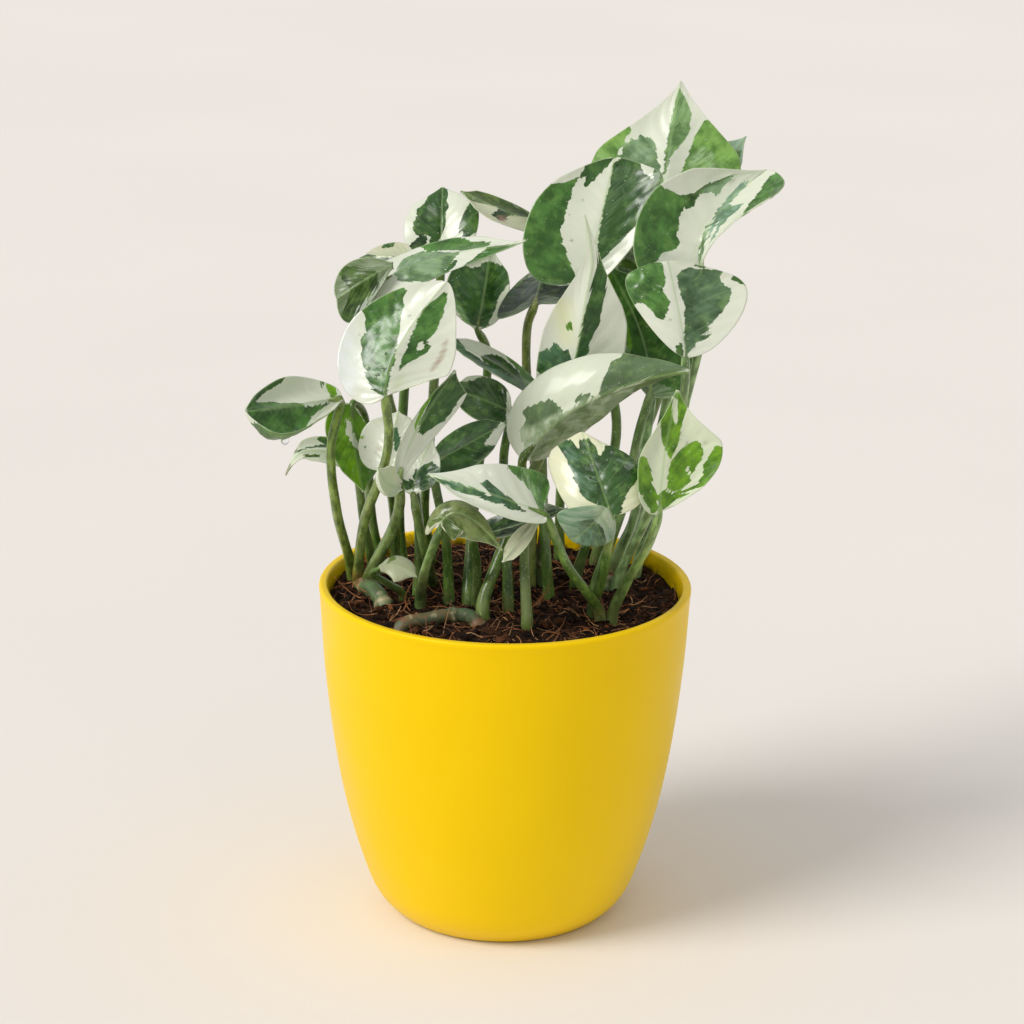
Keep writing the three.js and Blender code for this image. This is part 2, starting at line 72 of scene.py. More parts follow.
# The leaves, as in the solids: blade is base, midrib middle, tip and widest point of each side
LEAVES = {
    "cup_left": dict(
        blade=[[-52, -9, 174], [-66, -25, 176], [-79, -39, 178], [-67, -45, 173], [-68, -14, 182]],
        foot=[-50, 14], via=[[-54, -8, 138], [-55, -15, 160]], widest=[0.6, 0.55], lobe=[0.05, 0.05],
        cup=[6, 3], wave=0.4, point=[0.3, 0],
    ),
    "droop_left": dict(
        blade=[[-48, 4, 149], [-58, 0, 154], [-69, -6, 154], [-54, -4, 150], [-57, 8, 156]], foot=[-43, 16],
        via=[[-46, 8, 128]], widest=[0.35, 0.4], lobe=[0, 0], hook=[-1, -2, -6],
    ),
    "lime_hang": dict(
        blade=[[-49, -1, 170], [-48, -6, 157], [-45, -12, 144], [-41, -1, 153], [-57, -7, 163]],
        foot=[-41, 22], via=[[-44, 20, 126], [-46, 10, 163]], widest=[0.6, 0.3], lobe=[0, 0], wave=0.5,
    ),
    "big_white": dict(
        blade=[[-37, -42, 184], [-33, -36, 198], [-19, -26, 216], [-50, -30, 201], [-17, -36, 191]],
        foot=[-48, 9], via=[[-45, -8, 133], [-38, -26, 157], [-36, -38, 172]], widest=[0.58, 0.33],
        lobe=[0.1, 0.15], cup=[1.5, 1.5], wave=0.3, point=[0, 0],
    ),
    "fold_white": dict(
        blade=[[-33, -36, 155], [-28, -32, 170], [-16, -26, 188], [-32, -34, 169], [-15, -26, 176]],
        foot=[-45, 4], via=[[-36, -10, 131], [-33, -26, 146]], widest=[0.3, 0.6], lobe=[0, 0.05], stalk=1.9,
    ),
    "small_white": dict(
        blade=[[-38, -20, 154], [-36, -16, 163], [-34, -13, 171], [-46, -14, 163], [-30, -16, 165]],
        foot=[-36, 16], via=[[-36, 8, 128], [-37, -9, 146]], widest=[0.45, 0.45],
    ),
    "teal_white": dict(
        blade=[[-29, -26, 149], [-27, -22, 156], [-23, -18, 164], [-33, -22, 155], [-21, -25, 154]],
        foot=[-24, 8], via=[[-26, -16, 128]], lobe=[0.05, 0.05], cup=[0.5, 0.5],
    ),
    "dark_tip": dict(
        blade=[[-23, -14, 155], [-11, -11, 161], [0, -6, 166], [-14, -1, 163], [-11, -19, 155]],
        foot=[-18, -7], via=[[-19, -10, 128]], widest=[0.4, 0.45],
    ),
    "front_white": dict(
        blade=[[12, -46, 149], [-5, -52, 157], [-24, -46, 161], [-2, -58, 152], [5, -36, 161]],
        foot=[30, -21], via=[[19, -39, 130]], widest=[0.4, 0.25], lobe=[0.05, 0.2], cup=[1.5, 1.5],
        wave=0.3,
    ),
    "pale_fold": dict(
        blade=[[-20, -46, 145], [-13, -46, 148], [-1, -50, 138], [-17, -40, 151], [-14, -52, 143]],
        foot=[-27, -8], via=[[-25, -28, 124]], widest=[0.3, 0.3], lobe=[0.3, 0.3], cup=[-1, -1],
    ),
    "under_dark": dict(
        blade=[[-10, -30, 136], [4, -32, 141], [19, -38, 148], [4, -26, 144], [2, -36, 139]],
        foot=[-9, -10], via=[[-9, -11, 110], [-9, -22, 124]], widest=[0.45, 0.45],
    ),
    "round_patch": dict(
        blade=[[32, -48, 149], [28, -42, 159], [23, -30, 170], [13, -36, 160], [42, -40, 159]],
        foot=[28, -14], via=[[30, -28, 121]], widest=[0.5, 0.45], lobe=[0.5, 0.05], cup=[-2, -1], wave=0.5,
        point=[0.4, 0.4],
    ),
    "lime_right": dict(
        blade=[[47, -44, 149], [48, -38, 165], [52, -30, 184], [40, -45, 163], [66, -34, 164]],
        foot=[34, -20], via=[[38, -26, 120], [44, -38, 137]], widest=[0.42, 0.33], lobe=[0.04, 0],
        cup=[2, 2], wave=0.4, shoulder=0.5, point=[0.7, 0.75],
    ),
    "boat": dict(
        blade=[[5, -18, 158], [25, -22, 178], [56, -20, 187], [24, -12, 165], [13, -12, 185]],
        foot=[7, -29], via=[[6, -24, 124], [6, -14, 145]], widest=[0.35, 0.33], lobe=[0.05, 0.1],
        cup=[0.5, 2], wave=0.4, shoulder=0.5, point=[0.85, 0.3],
    ),
    "tall_point": dict(
        blade=[[19, -8, 174], [23, -4, 199], [27, 2, 224], [10, -4, 192], [37, -2, 191]], foot=[-7, -20],
        via=[[-7, -19, 110], [-3, -14, 121], [4, -5, 138], [13, -6, 161]], widest=[0.35, 0.3],
        cup=[1.5, 1.5], hook=[-4, -2, 8], shoulder=0.45, point=[0.85, 0.85], stalk=1.9,
    ),
    "top_light": dict(
        blade=[[48, 32, 227], [51, 46, 243], [55, 62, 263], [25, 44, 237], [75, 46, 234]], foot=[36, 30],
        via=[[42, 29, 123], [45, 28, 148], [47, 28, 168], [47, 30, 197]], widest=[0.33, 0.33], cup=[2, 2],
        wave=0.5, shoulder=0.5, point=[0.9, 0.7],
    ),
    "tip_behind": dict(
        blade=[[59, 56, 220], [68, 61, 232], [77, 62, 245], [62, 66, 234], [71, 58, 227]], foot=[38, 33],
        via=[[44, 33, 124], [52, 42, 157], [56, 52, 192]],
    ),
    "centre_large": dict(
        blade=[[25, 10, 208], [29, 18, 228], [33, 28, 244], [5, 14, 226], [48, 20, 236]], foot=[23, 14],
        via=[[30, 12, 132], [35, 10, 161], [28, 10, 189]], widest=[0.4, 0.6], lobe=[0.12, 0.12], cup=[2, 2],
        wave=0.6, point=[0.3, 0.4],
    ),
    "right_upper": dict(
        blade=[[60, 6, 214], [63, 12, 227], [81, 22, 242], [40, 4, 231], [82, 2, 238]], foot=[43, 22],
        via=[[51, 21, 139], [58, 21, 169], [62, 17, 193]], widest=[0.4, 0.75], lobe=[0.15, 0.1], cup=[2, 2],
        wave=0.6, point=[0.75, 0],
    ),
    "shade_under": dict(
        blade=[[8, 6, 202], [10, 21, 206], [11, 35, 208], [-3, 13, 199], [22, 18, 206]], foot=[8, 10],
        via=[[9, 14, 145], [6, 14, 175], [6, 11, 193]], widest=[0.3, 0.35], lobe=[0.15, 0.15],
    ),
    "heart_right": dict(
        blade=[[55, -16, 191], [52, -10, 206], [49, -4, 218], [36, -8, 211], [74, -4, 209]], foot=[36, 8],
        via=[[51, -4, 150], [55, -12, 179]], widest=[0.6, 0.6], lobe=[0.08, 0.08], cup=[-1, 2], wave=0.4,
        point=[0.3, 0.2],
    ),
    "dark_behind": dict(
        blade=[[45, 4, 173], [42, 10, 191], [31, 14, 212], [32, 12, 194], [57, 12, 195]], foot=[29, 4],
        via=[[37, 4, 134], [42, 2, 162]], widest=[0.5, 0.5],
    ),
    "cream_behind": dict(
        blade=[[51, 20, 205], [39, 22, 212], [29, 24, 216], [37, 18, 208], [38, 28, 217]], foot=[30, 36],
        via=[[38, 38, 129], [48, 38, 158], [54, 26, 186]],
    ),
    "arch_left": dict(
        blade=[[-44, -8, 209], [-20, -4, 219], [5, -6, 222], [-27, 10, 219], [-34, -14, 208]],
        foot=[-28, 0], via=[[-28, 1, 130], [-32, 6, 150], [-38, 6, 170], [-40, 2, 195]], widest=[0.4, 0.25],
        lobe=[0.1, 0.05], cup=[2, 1], hook=[0, -1, 3],
    ),
    "back_patch": dict(
        blade=[[-22, 26, 210], [-22, 32, 221], [-22, 42, 231], [-34, 30, 220], [-10, 30, 224]],
        foot=[-25, 34], via=[[-27, 32, 124], [-25, 28, 153], [-23, 26, 187]], widest=[0.45, 0.5],
        cup=[-1, -1],
    ),
    "olive_sliver": dict(
        blade=[[11, 26, 222], [-3, 24, 228], [-16, 25, 233], [-2, 18, 224], [-3, 30, 230]], foot=[18, 42],
        via=[[18, 43, 127], [20, 44, 164], [20, 42, 198]], lobe=[0.05, 0.05],
    ),
    "small_far": dict(
        blade=[[-30, 18, 212], [-39, 20, 213], [-48, 24, 211], [-41, 16, 210], [-36, 26, 216]],
        foot=[-34, 25], via=[[-35, 24, 125], [-34, 22, 159], [-32, 20, 189]], widest=[0.4, 0.25],
        lobe=[0.05, 0.05],
    ),
    "dark_middle": dict(
        blade=[[-10, 16, 191], [-8, 22, 201], [-6, 32, 214], [-20, 22, 204], [0, 23, 200]], foot=[-12, -6],
        via=[[-12, -4, 111], [-11, 5, 126], [-8, 19, 157], [-7, 22, 182]], widest=[0.55, 0.5],
        lobe=[0.05, 0.05],
    ),
    "teal_mid": dict(
        blade=[[9, 6, 173], [-6, 2, 184], [-21, 2, 191], [-5, -6, 182], [-3, 9, 185]], foot=[14, -2],
        via=[[12, 0, 132], [11, 4, 155]], widest=[0.45, 0.4],
    ),
    "grey_stripe": dict(
        blade=[[1, 6, 166], [-7, 8, 169], [-19, 12, 172], [-9, 2, 164], [-6, 14, 175]], foot=[1, -9],
        via=[[0, -2, 130], [-1, 4, 152]], widest=[0.45, 0.4],
    ),
    "withered": dict(
        blade=[[-39, -16, 120], [-34, -16, 121], [-28, -18, 118], [-35, -20, 117], [-33, -12, 123]],
        foot=[-33, -3], via=[[-37, -8, 112], [-42, -14, 118]], lobe=[0, 0], cup=[0.5, 0.5], stalk=1.3,
    ),
}

# The lobe of a leaf that folds away from its blade
LOBES = {
    "arch_left": dict(
        blade=[[-36, -9, 217], [-44, -12, 213], [-53, -14, 207], [-47, -16, 201], [-50, -8, 217]],
        widest=[0.5, 0.5], lobe=[0, 0], point=[0, 0],
    ),
    "round_patch": dict(
        blade=[[30, -48, 152], [25, -50, 146], [20, -50, 142], [32, -47, 141], [16, -51, 151]],
        widest=[0.5, 0.5], lobe=[0, 0], cup=[-1, -1], point=[0, 0],
    ),
    "front_white": dict(
        blade=[[9, -45, 146], [4, -49, 141], [-1, -52, 135], [6, -50, 139], [2, -46, 142]], lobe=[0, 0],
    ),
    "fold_white": dict(
        blade=[[-32, -36, 154], [-36, -41, 156], [-39, -44, 162], [-37, -46, 155], [-34, -40, 161]],
        lobe=[0, 0], cup=[2, 2],
    ),
}

# The vine's pieces, with their rings as shares of the way along
STEMS = {
    "stem_left": dict(
        path=[[-48, 15, 98], [-47, 9, 105], [-44, 1, 108], [-39, -9, 106], [-36, -15, 98]], radius=2.9,
        rings=[0.4, 0.75],
    ),
    "stem_front": dict(
        path=[
            [-35, -32, 99], [-32, -30, 106], [-24, -26, 107], [-16, -22, 107], [-10, -22, 106],
            [-6, -26, 99],
        ],
        radius=2.3, rings=[0.62, 0.84],
    ),
    "stem_upright": dict(
        path=[[11, 14, 92], [11, 14, 104], [12, 13, 115], [13, 11, 126]], radius=2.1, rings=[0.62],
    ),
    "stem_right": dict(
        path=[[29, 4, 98], [32, 8, 106], [37, 12, 107], [42, 13, 99]], radius=2.2, rings=[0.5],
    ),
}
LEAVES = {name: PLAIN_LEAF | row for name, row in LEAVES.items()}
LOBES = {name: PLAIN_LEAF | row for name, row in LOBES.items()}

# Markings: for each blade its tones, each followed by the x,y photo pixels of its outline
MARKINGS = {
    "cup_left": """
        mid 244,411 246,396 256,402 275,402 290,404 305,408 318,405 330,402 320,410 310,417 302,424 290,430
          276,430 262,424 252,420
        mid 246,405 262,410 276,424 300,424 318,418 310,430 295,436 275,438 258,432 246,424
        dark 246,412 258,410 264,418 262,427 250,420
        veil_grey 256,406 275,403 300,408 300,411 280,413 262,412
        dark 246,408 252,394 262,382 275,372 290,368 314,370 314,380 292,381 278,385 267,391 257,400
        mid 303,375 316,376 324,382 322,388 314,383 306,379
        lime 322,383 333,387 337,394 333,400 328,392
    """,
    "droop_left": """
        dark 316,440 334,435 336,448 326,446
        dark 292,455 302,450 316,446 334,445 334,449 312,449 300,453
        olive 303,455 320,456 320,459 304,458
        brown 278,462 286,458 292,466 288,480 276,478
    """,
    "lime_hang": """
        lime 325,405 355,400 385,455 378,500 350,500 335,460
        hole 345,418 350,420 353,432 360,447 360,452 353,446 346,432
        dark 366,448 384,466 378,472 370,462
    """,
    # This blade carries a small patch of painted shade: dark green as it looks in shade
    "big_white": """
        mid 377,284 371,300 366,318 364,325 366,333 361,338 361,352 364,368 368,378 372,388 380,393 386,396
          388,385 391,370 394,364 396,352 398,340 401,328 402,316 405,305 403,298 408,291 405,281 398,278
          386,279
        deep 376,305 383,303 388,308 387,318 380,320 375,314
        dark 366,335 372,325 376,340 382,355 388,368 386,390 376,390 367,376 362,352
        veil_silver 367,340 374,334 380,345 386,360 388,375 384,390 376,386 369,374 364,356
        veil_silver 384,332 390,330 394,340 392,352 386,346
        mid 396,372 400,363 404,353 408,346 412,333 418,319 424,309 430,302 436,298 443,292 447,294 446,304
          444,313 440,323 434,334 428,340 431,346 425,354 417,358 410,363 403,368
        dark 406,350 412,336 424,325 426,335 414,350 406,358
        hole 417,343 422,341 424,348 420,352 417,350
        pale_soft 395,379 402,374 403,383 398,389 394,392
        scar 430,372 433,366 440,356 443,346 447,341 446,352 440,362 434,370
        blue_soft 352,300 345,330 340,360 344,390 356,400 360,380 356,340 362,310
    """,
    "fold_white": """
        dark 447,371 456,373 463,380 464,388 458,399 455,406 450,413 445,421 438,424 430,429 422,435 418,433
          419,425 425,412 430,400 436,388 442,378
        lime 443,373 446,374 430,398 420,420 416,430 414,424 424,400 434,384
    """,
    "fold_white/lobe": """
        pale_soft 375,470 400,470 400,495 375,495
    """,
    "small_white": """
        teal 394,427 398,429 401,448 404,467 396,458 392,440
        lime 361,435 364,436 364,439 361,438
        lime 363,442 367,446 366,449 363,445
        scar 377,449 380,449 380,452 377,452
    """,
    "teal_white": """
        teal 413,478 416,470 424,465 432,462 440,470 440,490 420,492
        dark 403,480 415,480 440,484 440,500 402,500
    """,
    "dark_tip": """
        dark 425,440 440,425 470,415 508,415 515,425 500,440 490,452 485,470 440,480 425,465
        hole 502,420 509,428 505,436 498,441 485,447 483,444 490,437 492,432 498,428
        teal 468,467 478,459 489,449 486,467
    """,
    "front_white": """
        teal 425,478 430,476 440,479 455,482 465,485 480,491 490,496 502,502 504,505 495,504 480,498 468,495
          455,491 447,486 435,483 427,483
        teal 480,484 487,481 493,485 500,491 510,499 518,505 526,512 512,510 500,503 490,495
        mid 498,461 520,458 542,464 558,478 562,500 554,514 541,514 535,502 529,490 519,478 508,469
        veil_mint 520,470 530,479 538,488 546,508 528,510 524,496 519,482
    """,
    "pale_fold": """
        oldgreen 425,495 450,492 505,545 505,556 470,556 440,545 425,530
        olive 430,522 445,518 462,526 462,545 440,542 430,530
    """,
    # Painted shade: this whole blade takes the dark green as it looks in shade
    "under_dark": """
        deep 470,500 580,500 580,560 470,560
    """,
    "round_patch": """
        dark 562,439 561,447 565,455 570,465 577,472 573,479 579,488 583,497 590,502 597,506 605,512 612,523
          618,517 622,506 625,497 631,488 636,480 638,468 636,458 628,450 618,445 610,441 605,447 601,456
          598,452 594,443 588,438 580,440 578,449 571,440
        teal 562,440 572,442 578,452 586,456 584,470 586,488 596,502 586,500 578,486 574,476 566,458
        veil_teal 566,446 574,450 578,462 574,466 568,458
        veil_teal 580,474 590,478 594,490 588,496 580,486
        yellow_soft 604,492 612,492 612,502 605,502
    """,
    "round_patch/lobe": """
        grey 575,522 590,518 604,530 600,545 580,545
        veil_teal 560,515 575,517 592,530 600,545 580,545 565,532
        pale_soft 596,504 616,504 618,522 606,526 598,516
    """,
    "lime_right": """
        lime 674,390 681,391 685,405 683,420 680,431 676,446 670,459 665,450 661,440 660,430 663,415 668,404
        hole 674,396 677,400 678,420 676,428 673,420 672,405
        lime 671,462 676,455 683,448 688,443 694,440 699,442 704,452 702,458 697,465 693,475 690,472 688,466
          685,471 690,477 690,482 683,487 675,492 668,490 666,480 668,468
        lime 641,453 646,458 650,470 653,482 651,482 656,492 659,510 655,516 648,508 642,496 637,478 638,462
        lime 709,433 716,445 722,460 718,475 711,483 700,488 685,493 672,495 672,492 685,490 698,484 701,478
          704,474 703,466 708,458 712,452
        lime 656,498 662,490 672,494 690,494 678,499 670,505 663,510
    """,
    # The lower half of this blade carries painted shade: cream as it looks in shade
    "boat": """
        shade 523,412 528,407 540,403 550,399 556,403 562,410 556,415 549,422 540,428 532,436 528,446
          523,441 521,430 527,420
        shade 574,401 580,394 590,393 593,396 585,400 577,403
        shade 598,393 602,385 606,376 611,362 622,358 623,354 640,356 655,354 668,358 680,363 688,370
          670,372 655,376 645,380 630,384 615,389 605,396
        olive 614,391 640,383 660,372 680,371 692,373 690,381 678,388 655,390 640,390 628,391
        mint 520,430 560,414 600,396 640,384 640,440 530,460
        dark 611,393 632,389 632,398 622,406 612,416 604,421 602,412 600,405 606,398
    """,
    "tall_point": """
        teal 541,374 540,353 547,348 550,354 553,339 558,345 563,351 569,349 571,358 573,370
        dark 600,236 602,250 606,262 607,280 604,298 600,310 598,325 592,335 588,345 589,352 580,358 574,364
          577,350 580,335 584,315 588,300 592,280 597,260
        teal 578,350 582,335 590,330 588,345 586,354 576,360
        lime 568,322 573,322 572,331 568,329
        yellow_soft 560,300 570,300 574,345 562,345
    """,
    "top_light": """
        lightlime 586,170 593,155 604,137 615,127 628,121 638,120 632,130 625,141 619,153 612,175
        sage 619,157 624,146 630,138 635,141 640,135 645,139 648,135 654,143 657,152 660,168 660,195 640,190
          618,180
        palegreen 679,88 683,95 688,103 692,115 690,128 686,137 680,147 673,153 667,170 662,182 666,150
          671,120 676,100
        lightlime 706,114 713,120 724,132 734,145 740,160 744,176 740,200 672,205 672,192 680,175 688,155
          693,142 700,130 705,122
        veil_mint 690,155 700,145 712,150 714,165 700,172 684,176
        veil_mint 672,195 695,188 720,180 700,195 680,200
    """,
    "tip_behind": """
        sage 690,150 742,150 742,230 690,230
    """,
    "centre_large": """
        mid 520,245 527,228 534,209 545,194 558,183 576,179 573,190 567,208 563,224 560,229 562,240 567,256
          573,270 580,285 540,285 520,262
        dark 545,200 556,205 552,222 546,216
        dark 577,178 583,169 592,160 604,157 614,155 608,165 602,172 594,180 586,188 583,186 585,180 588,175
          580,180
        dark 613,163 620,158 634,161 648,168 658,175 664,186 662,195 652,207 642,218 630,233 612,251 602,262
          597,250 600,225 604,205 610,185
        veil_grey 613,168 625,164 640,171 648,180 636,192 620,202 610,218 604,245 600,245 601,225 605,205
          610,185
        hole 632,160 645,166 653,175 656,184 650,177 640,168
    """,
    "right_upper": """
        mid 634,228 640,214 648,200 657,190 666,188 674,194 684,197 692,198 695,205 688,209 684,206 680,212
          677,220 680,228 677,236 681,242 676,250 671,252 666,250 655,262 640,262 634,245
        dark 680,195 692,193 710,183 728,176 738,174 726,179 712,187 700,191 695,205 684,207
        sage 698,192 708,186 718,183 727,178 736,177 728,183 722,189 716,196 712,192 704,192
        sage 708,221 710,228 706,240 703,255 700,262 699,250 703,234
        tealgrey 749,180 745,188 737,196 728,206 720,219 713,231 707,243 709,230 714,218 721,206 731,193
          741,184
        tealgrey 728,207 738,205 744,203 735,213 727,219 720,229 714,239 709,246 716,228 722,216
        mid 783,163 788,170 787,185 779,199 768,209 755,217 742,230 730,245 719,260 716,262 722,250 728,238
          735,225 745,210 755,198 763,187 770,176 777,167
    """,
    "heart_right": """
        mid 625,299 626,285 633,270 640,260 648,255 656,256 662,263 664,272 666,282 663,290 667,297 671,303
          668,312 663,318 657,317 650,309 643,304 630,307
        grey 677,276 682,269 690,267 700,269 712,269 720,277 724,286 730,288 731,297 727,306 718,316 708,328
          700,336 712,333 706,339 696,344 690,350 686,355 683,338 685,320 682,300 678,290
        dark 690,262 705,262 704,268 692,266
        dark 718,265 733,273 743,288 748,303 744,312 741,296 732,280
        dark 676,346 682,342 684,360 676,360
    """,
    "dark_behind": """
        dark 600,250 690,250 690,400 600,400
        mid 606,266 625,270 640,285 640,310 626,320 612,300
        lime 606,270 610,272 622,310 634,348 628,350 616,315
    """,
    "cream_behind": """
        olive 600,200 660,200 660,300 600,300
    """,
    "arch_left/lobe": """
        olivedark 325,262 374,270 377,277 384,284 372,300 360,325 325,325
    """,
    "arch_left": """
        sage 394,274 399,264 408,256 420,252 440,252 462,252 450,265 442,274 434,281 420,283 398,281
        mid 412,251 435,244 450,241 470,242 492,242 478,249 450,251 430,252
        mid 432,284 440,276 450,266 460,256 454,268 444,278 436,285
        mid 461,267 478,256 495,247 510,246 524,249 512,257 492,260 478,264
        olivedark 320,255 374,262 384,284 372,300 325,325
    """,
    # This blade carries a small patch of painted shade: dark green as it looks in shade
    "back_patch": """
        dark 413,226 418,210 425,203 428,198 433,190 440,185 447,189 448,200 450,208 447,215 446,225 444,233
          440,240 436,250 428,250 430,237 425,234 417,236
        deep 414,241 420,235 427,237 427,244 420,252 412,252
        dark 470,202 476,200 480,208 479,214 476,226 470,236 468,248 460,246 463,230 458,236 461,222 464,212
    """,
    # This blade carries a strip of painted shade: dark green as it looks in shade
    "olive_sliver": """
        olive 457,189 480,193 505,200 532,208 534,219 512,217 497,207 480,203 466,198
        deep 490,214 500,208 528,212 528,217 510,216 500,221
        scar 498,216 506,217 505,223 499,221
    """,
    # This blade's ground is painted shade: cream as it looks in shade
    "small_far": """
        dark 356,261 368,254 376,256 372,262
        dark 380,248 392,244 398,237 405,233 406,240 400,240 394,247 384,250
        dark 372,258 384,257 400,258 394,263 380,262
    """,
    "dark_middle": """
        dark 445,270 462,264 466,267 478,268 482,264 491,262 502,265 508,270 509,276 500,295 494,312 485,335
          470,335 455,300
        palegreen 446,282 450,282 462,305 474,330 466,332 455,308
    """,
    "teal_mid": """
        teal 453,339 459,341 465,351 475,356 487,364 500,371 510,377 520,387 528,394 518,398 512,393 506,385
          494,376 480,368 464,360 454,354
        dark 480,356 490,354 500,357 510,364 518,371 523,380 528,389 521,391 510,378 500,371 490,366 483,362
        palegreen 496,350 510,356 530,375 534,388 526,388 518,371 508,361
    """,
    "grey_stripe": """
        shade 445,370 520,370 520,430 445,430
        dark 462,388 478,392 492,402 505,416 512,428 498,420 482,408 466,398
        dark 455,402 470,408 484,420 478,424 462,412
        veil_grey 462,384 476,387 490,396 484,396 470,390
    """,
    "withered": """
        olive 383,548 392,545 396,560 388,566
    """,
    # Painted shade: this whole blade takes the dark green as it looks in shade
    "shade_under": """
        deep 480,240 590,240 590,320 480,320
    """,
}

# Colours as shown on a screen, from 0 to 255
TONES = {
    # Of the markings
    # Painted shade: the fourth tone below is the dark green as it looks where shade falls on it
    "cream": (218, 223, 204), "mid": (86, 134, 58), "dark": (60, 98, 42), "deep": (34, 62, 22),
    "teal": (78, 118, 84), "tealgrey": (140, 170, 152), "grey": (98, 126, 92), "shade": (86, 108, 78),
    "sage": (144, 172, 134), "palegreen": (146, 182, 122), "lime": (124, 174, 24),
    "lightlime": (140, 184, 92), "ivory": (224, 226, 188), "greencream": (216, 226, 192),
    # The first tone below is partly the dull cream of dull or old blades and partly painted shade: cream as
    # it looks in shade
    "dull_and_shaded_cream": (186, 188, 156), "oldgreen": (140, 150, 98), "olive": (96, 116, 48),
    # Painted shade: the second tone below is cream as it looks in shade
    "olivedark": (70, 94, 38), "mint": (200, 209, 186), "veil_grey": (104, 128, 92),
    "veil_silver": (132, 162, 126), "veil_mint": (176, 208, 156), "veil_teal": (118, 152, 128),
    "scar": (152, 122, 106), "brown": (128, 106, 76), "pale_soft": (196, 210, 160),
    "blue_soft": (226, 234, 236), "yellow_soft": (214, 216, 150),
    # Of the blades themselves
    "green_streak": (214, 220, 208), "green_cloud": (150, 170, 138), "green_island": (150, 190, 96),
    "green_vein": (170, 200, 124), "ground_vein": (188, 208, 160), "ground_streak": (205, 214, 190),
    "midrib": (150, 180, 112), "margin": (196, 208, 172), "speck": (206, 218, 198),
    "underside": (140, 172, 104),
    # Of petioles, vine and root
    "stalk": (106, 140, 62), "stalk_streak": (46, 74, 24), "stalk_pale": (160, 172, 112),
    "stalk_speck": (196, 206, 168), "bark_streak": (80, 94, 62), "bark_blotch": (122, 78, 46),
    "bark_pale": (176, 168, 134), "ring_scar": (204, 190, 146), "root": (150, 106, 70),
    # Of fibres, pot, soil and studio
    "fibre_dark": (96, 56, 32), "yellow": (245, 203, 0), "light_yellow": (248, 208, 2),
    "dirt": (60, 42, 24), "peat": (25, 15, 8), "light_peat": (64, 40, 24), "chip": (80, 44, 26),
    "crumb": (30, 18, 10), "light_crumb": (132, 80, 46), "crumb_grain": (34, 20, 12),
    "floor": (234, 229, 223), "far_floor": (236, 231, 225), "world": (250, 250, 252),
    "sun": (255, 252, 247),
}

# Tone of the whole blade under its markings, where it isn't cream. Some grounds are painted shade:
# under_dark and shade_under take the dark green as it looks in shade, and small_far and front_white/lobe a
# cream as it looks in shade
GROUNDS = {
    "arch_left/lobe": "olivedark", "round_patch": "ivory", "round_patch/lobe": "teal",
    "lime_right": "greencream", "pale_fold": "dull_and_shaded_cream", "shade_under": "deep", "small_far": "dull_and_shaded_cream",
    "front_white/lobe": "dull_and_shaded_cream", "under_dark": "deep", "tip_behind": "tealgrey", "withered": "dull_and_shaded_cream",
    "dark_behind": "dark", "cream_behind": "oldgreen", "olive_sliver": "dull_and_shaded_cream",
}

# Tones of the petioles that differ from the others, and of the feet of some
STALK_TONES = {
    "cup_left": (142, 168, 76), "big_white": (142, 166, 84), "fold_white": (132, 160, 90),
    "boat": (96, 122, 50), "pale_fold": (130, 164, 92), "shade_under": (140, 152, 74),
    "tall_point": (118, 148, 66), "heart_right": (172, 206, 140), "right_upper": (168, 204, 136),
    "front_white": (122, 158, 70), "lime_right": (146, 178, 100), "top_light": (160, 196, 132),
    "under_dark": (92, 122, 60), "tip_behind": (156, 190, 128), "dark_behind": (136, 172, 96),
    "round_patch": (118, 154, 72),
}
FOOT_TONES = {"big_white": (168, 118, 56), "fold_white": (150, 122, 70), "front_white": (134, 128, 70)}

# Tones of each stem, below its first ring and above it
BARK_TONES = {
    "stem_left": ((132, 146, 84), (92, 122, 74)), "stem_front": ((118, 98, 62), (88, 114, 76)),
    "stem_upright": ((98, 122, 66), (110, 134, 76)), "stem_right": ((104, 124, 70), (120, 140, 88)),
}
FIBRE_TONES = [(162, 98, 52), (188, 124, 70), (118, 68, 38), (206, 158, 108)]

# Blades
BLADE_ROWS = 84
BLADE_COLUMNS = 20
BLADE_THICKNESS = 0.55
HOOK_START = 0.8
HOOK_LENGTH = 0.2
WAVE_COUNT = 9
VEIN_PAIRS = 8
VEIN_RISE = 0.34
VEIN_OFFSET = 0.45
QUILT_HEIGHT = 0.1
VEIN_DEPTH = 0.06
FULL_SPACING = 5
SWAY_HEIGHT = 0.55
SWAY_SIZE = 15
RUFFLE_HEIGHT = 0.3
RUFFLE_SIZE = 6
GROOVE_DEPTH = 0.35
RIDGE_HEIGHT = 1.15
RIDGE_HEIGHT_AT_TIP = 0.15
MARGIN_THINNING = 0.55
BLISTER_SIZE = 2.3
BLISTER_HEIGHT = 0.14
BLISTERED = {
    "right_upper": 0.66, "heart_right": 0.46, "big_white": 0.3, "round_patch": 0.26, "centre_large": 0.2,
    "cup_left": 0.35, "lime_right": 0.25, "tall_point": 0.2, "arch_left": 0.22, "round_patch/lobe": 0.3,
}


def unit(vectors):
    return vectors / np.maximum(np.linalg.norm(vectors, axis=-1, keepdims=True), 1e-9)


def midrib_point(leaf, along, hooked=True):
    """A point of the midrib, from the base at 0 to the tip at 1."""
    base, middle, tip = np.array(leaf["blade"][:3], float)
    control = 2 * middle - (base + tip) / 2
    t = np.asarray(along, float)[..., None]
    point = (1 - t) ** 2 * base + 2 * (1 - t) * t * control + t**2 * tip
    if hooked:
        bend = np.clip((t - HOOK_START) / HOOK_LENGTH, 0, None)
        point = point + bend**2 * np.array(leaf["hook"], float)
    return point


def midrib_direction(leaf, along):
    t = np.clip(along, -0.1, 0.97)
    return unit(midrib_point(leaf, t + 0.02, False) - midrib_point(leaf, t - 0.02, False))


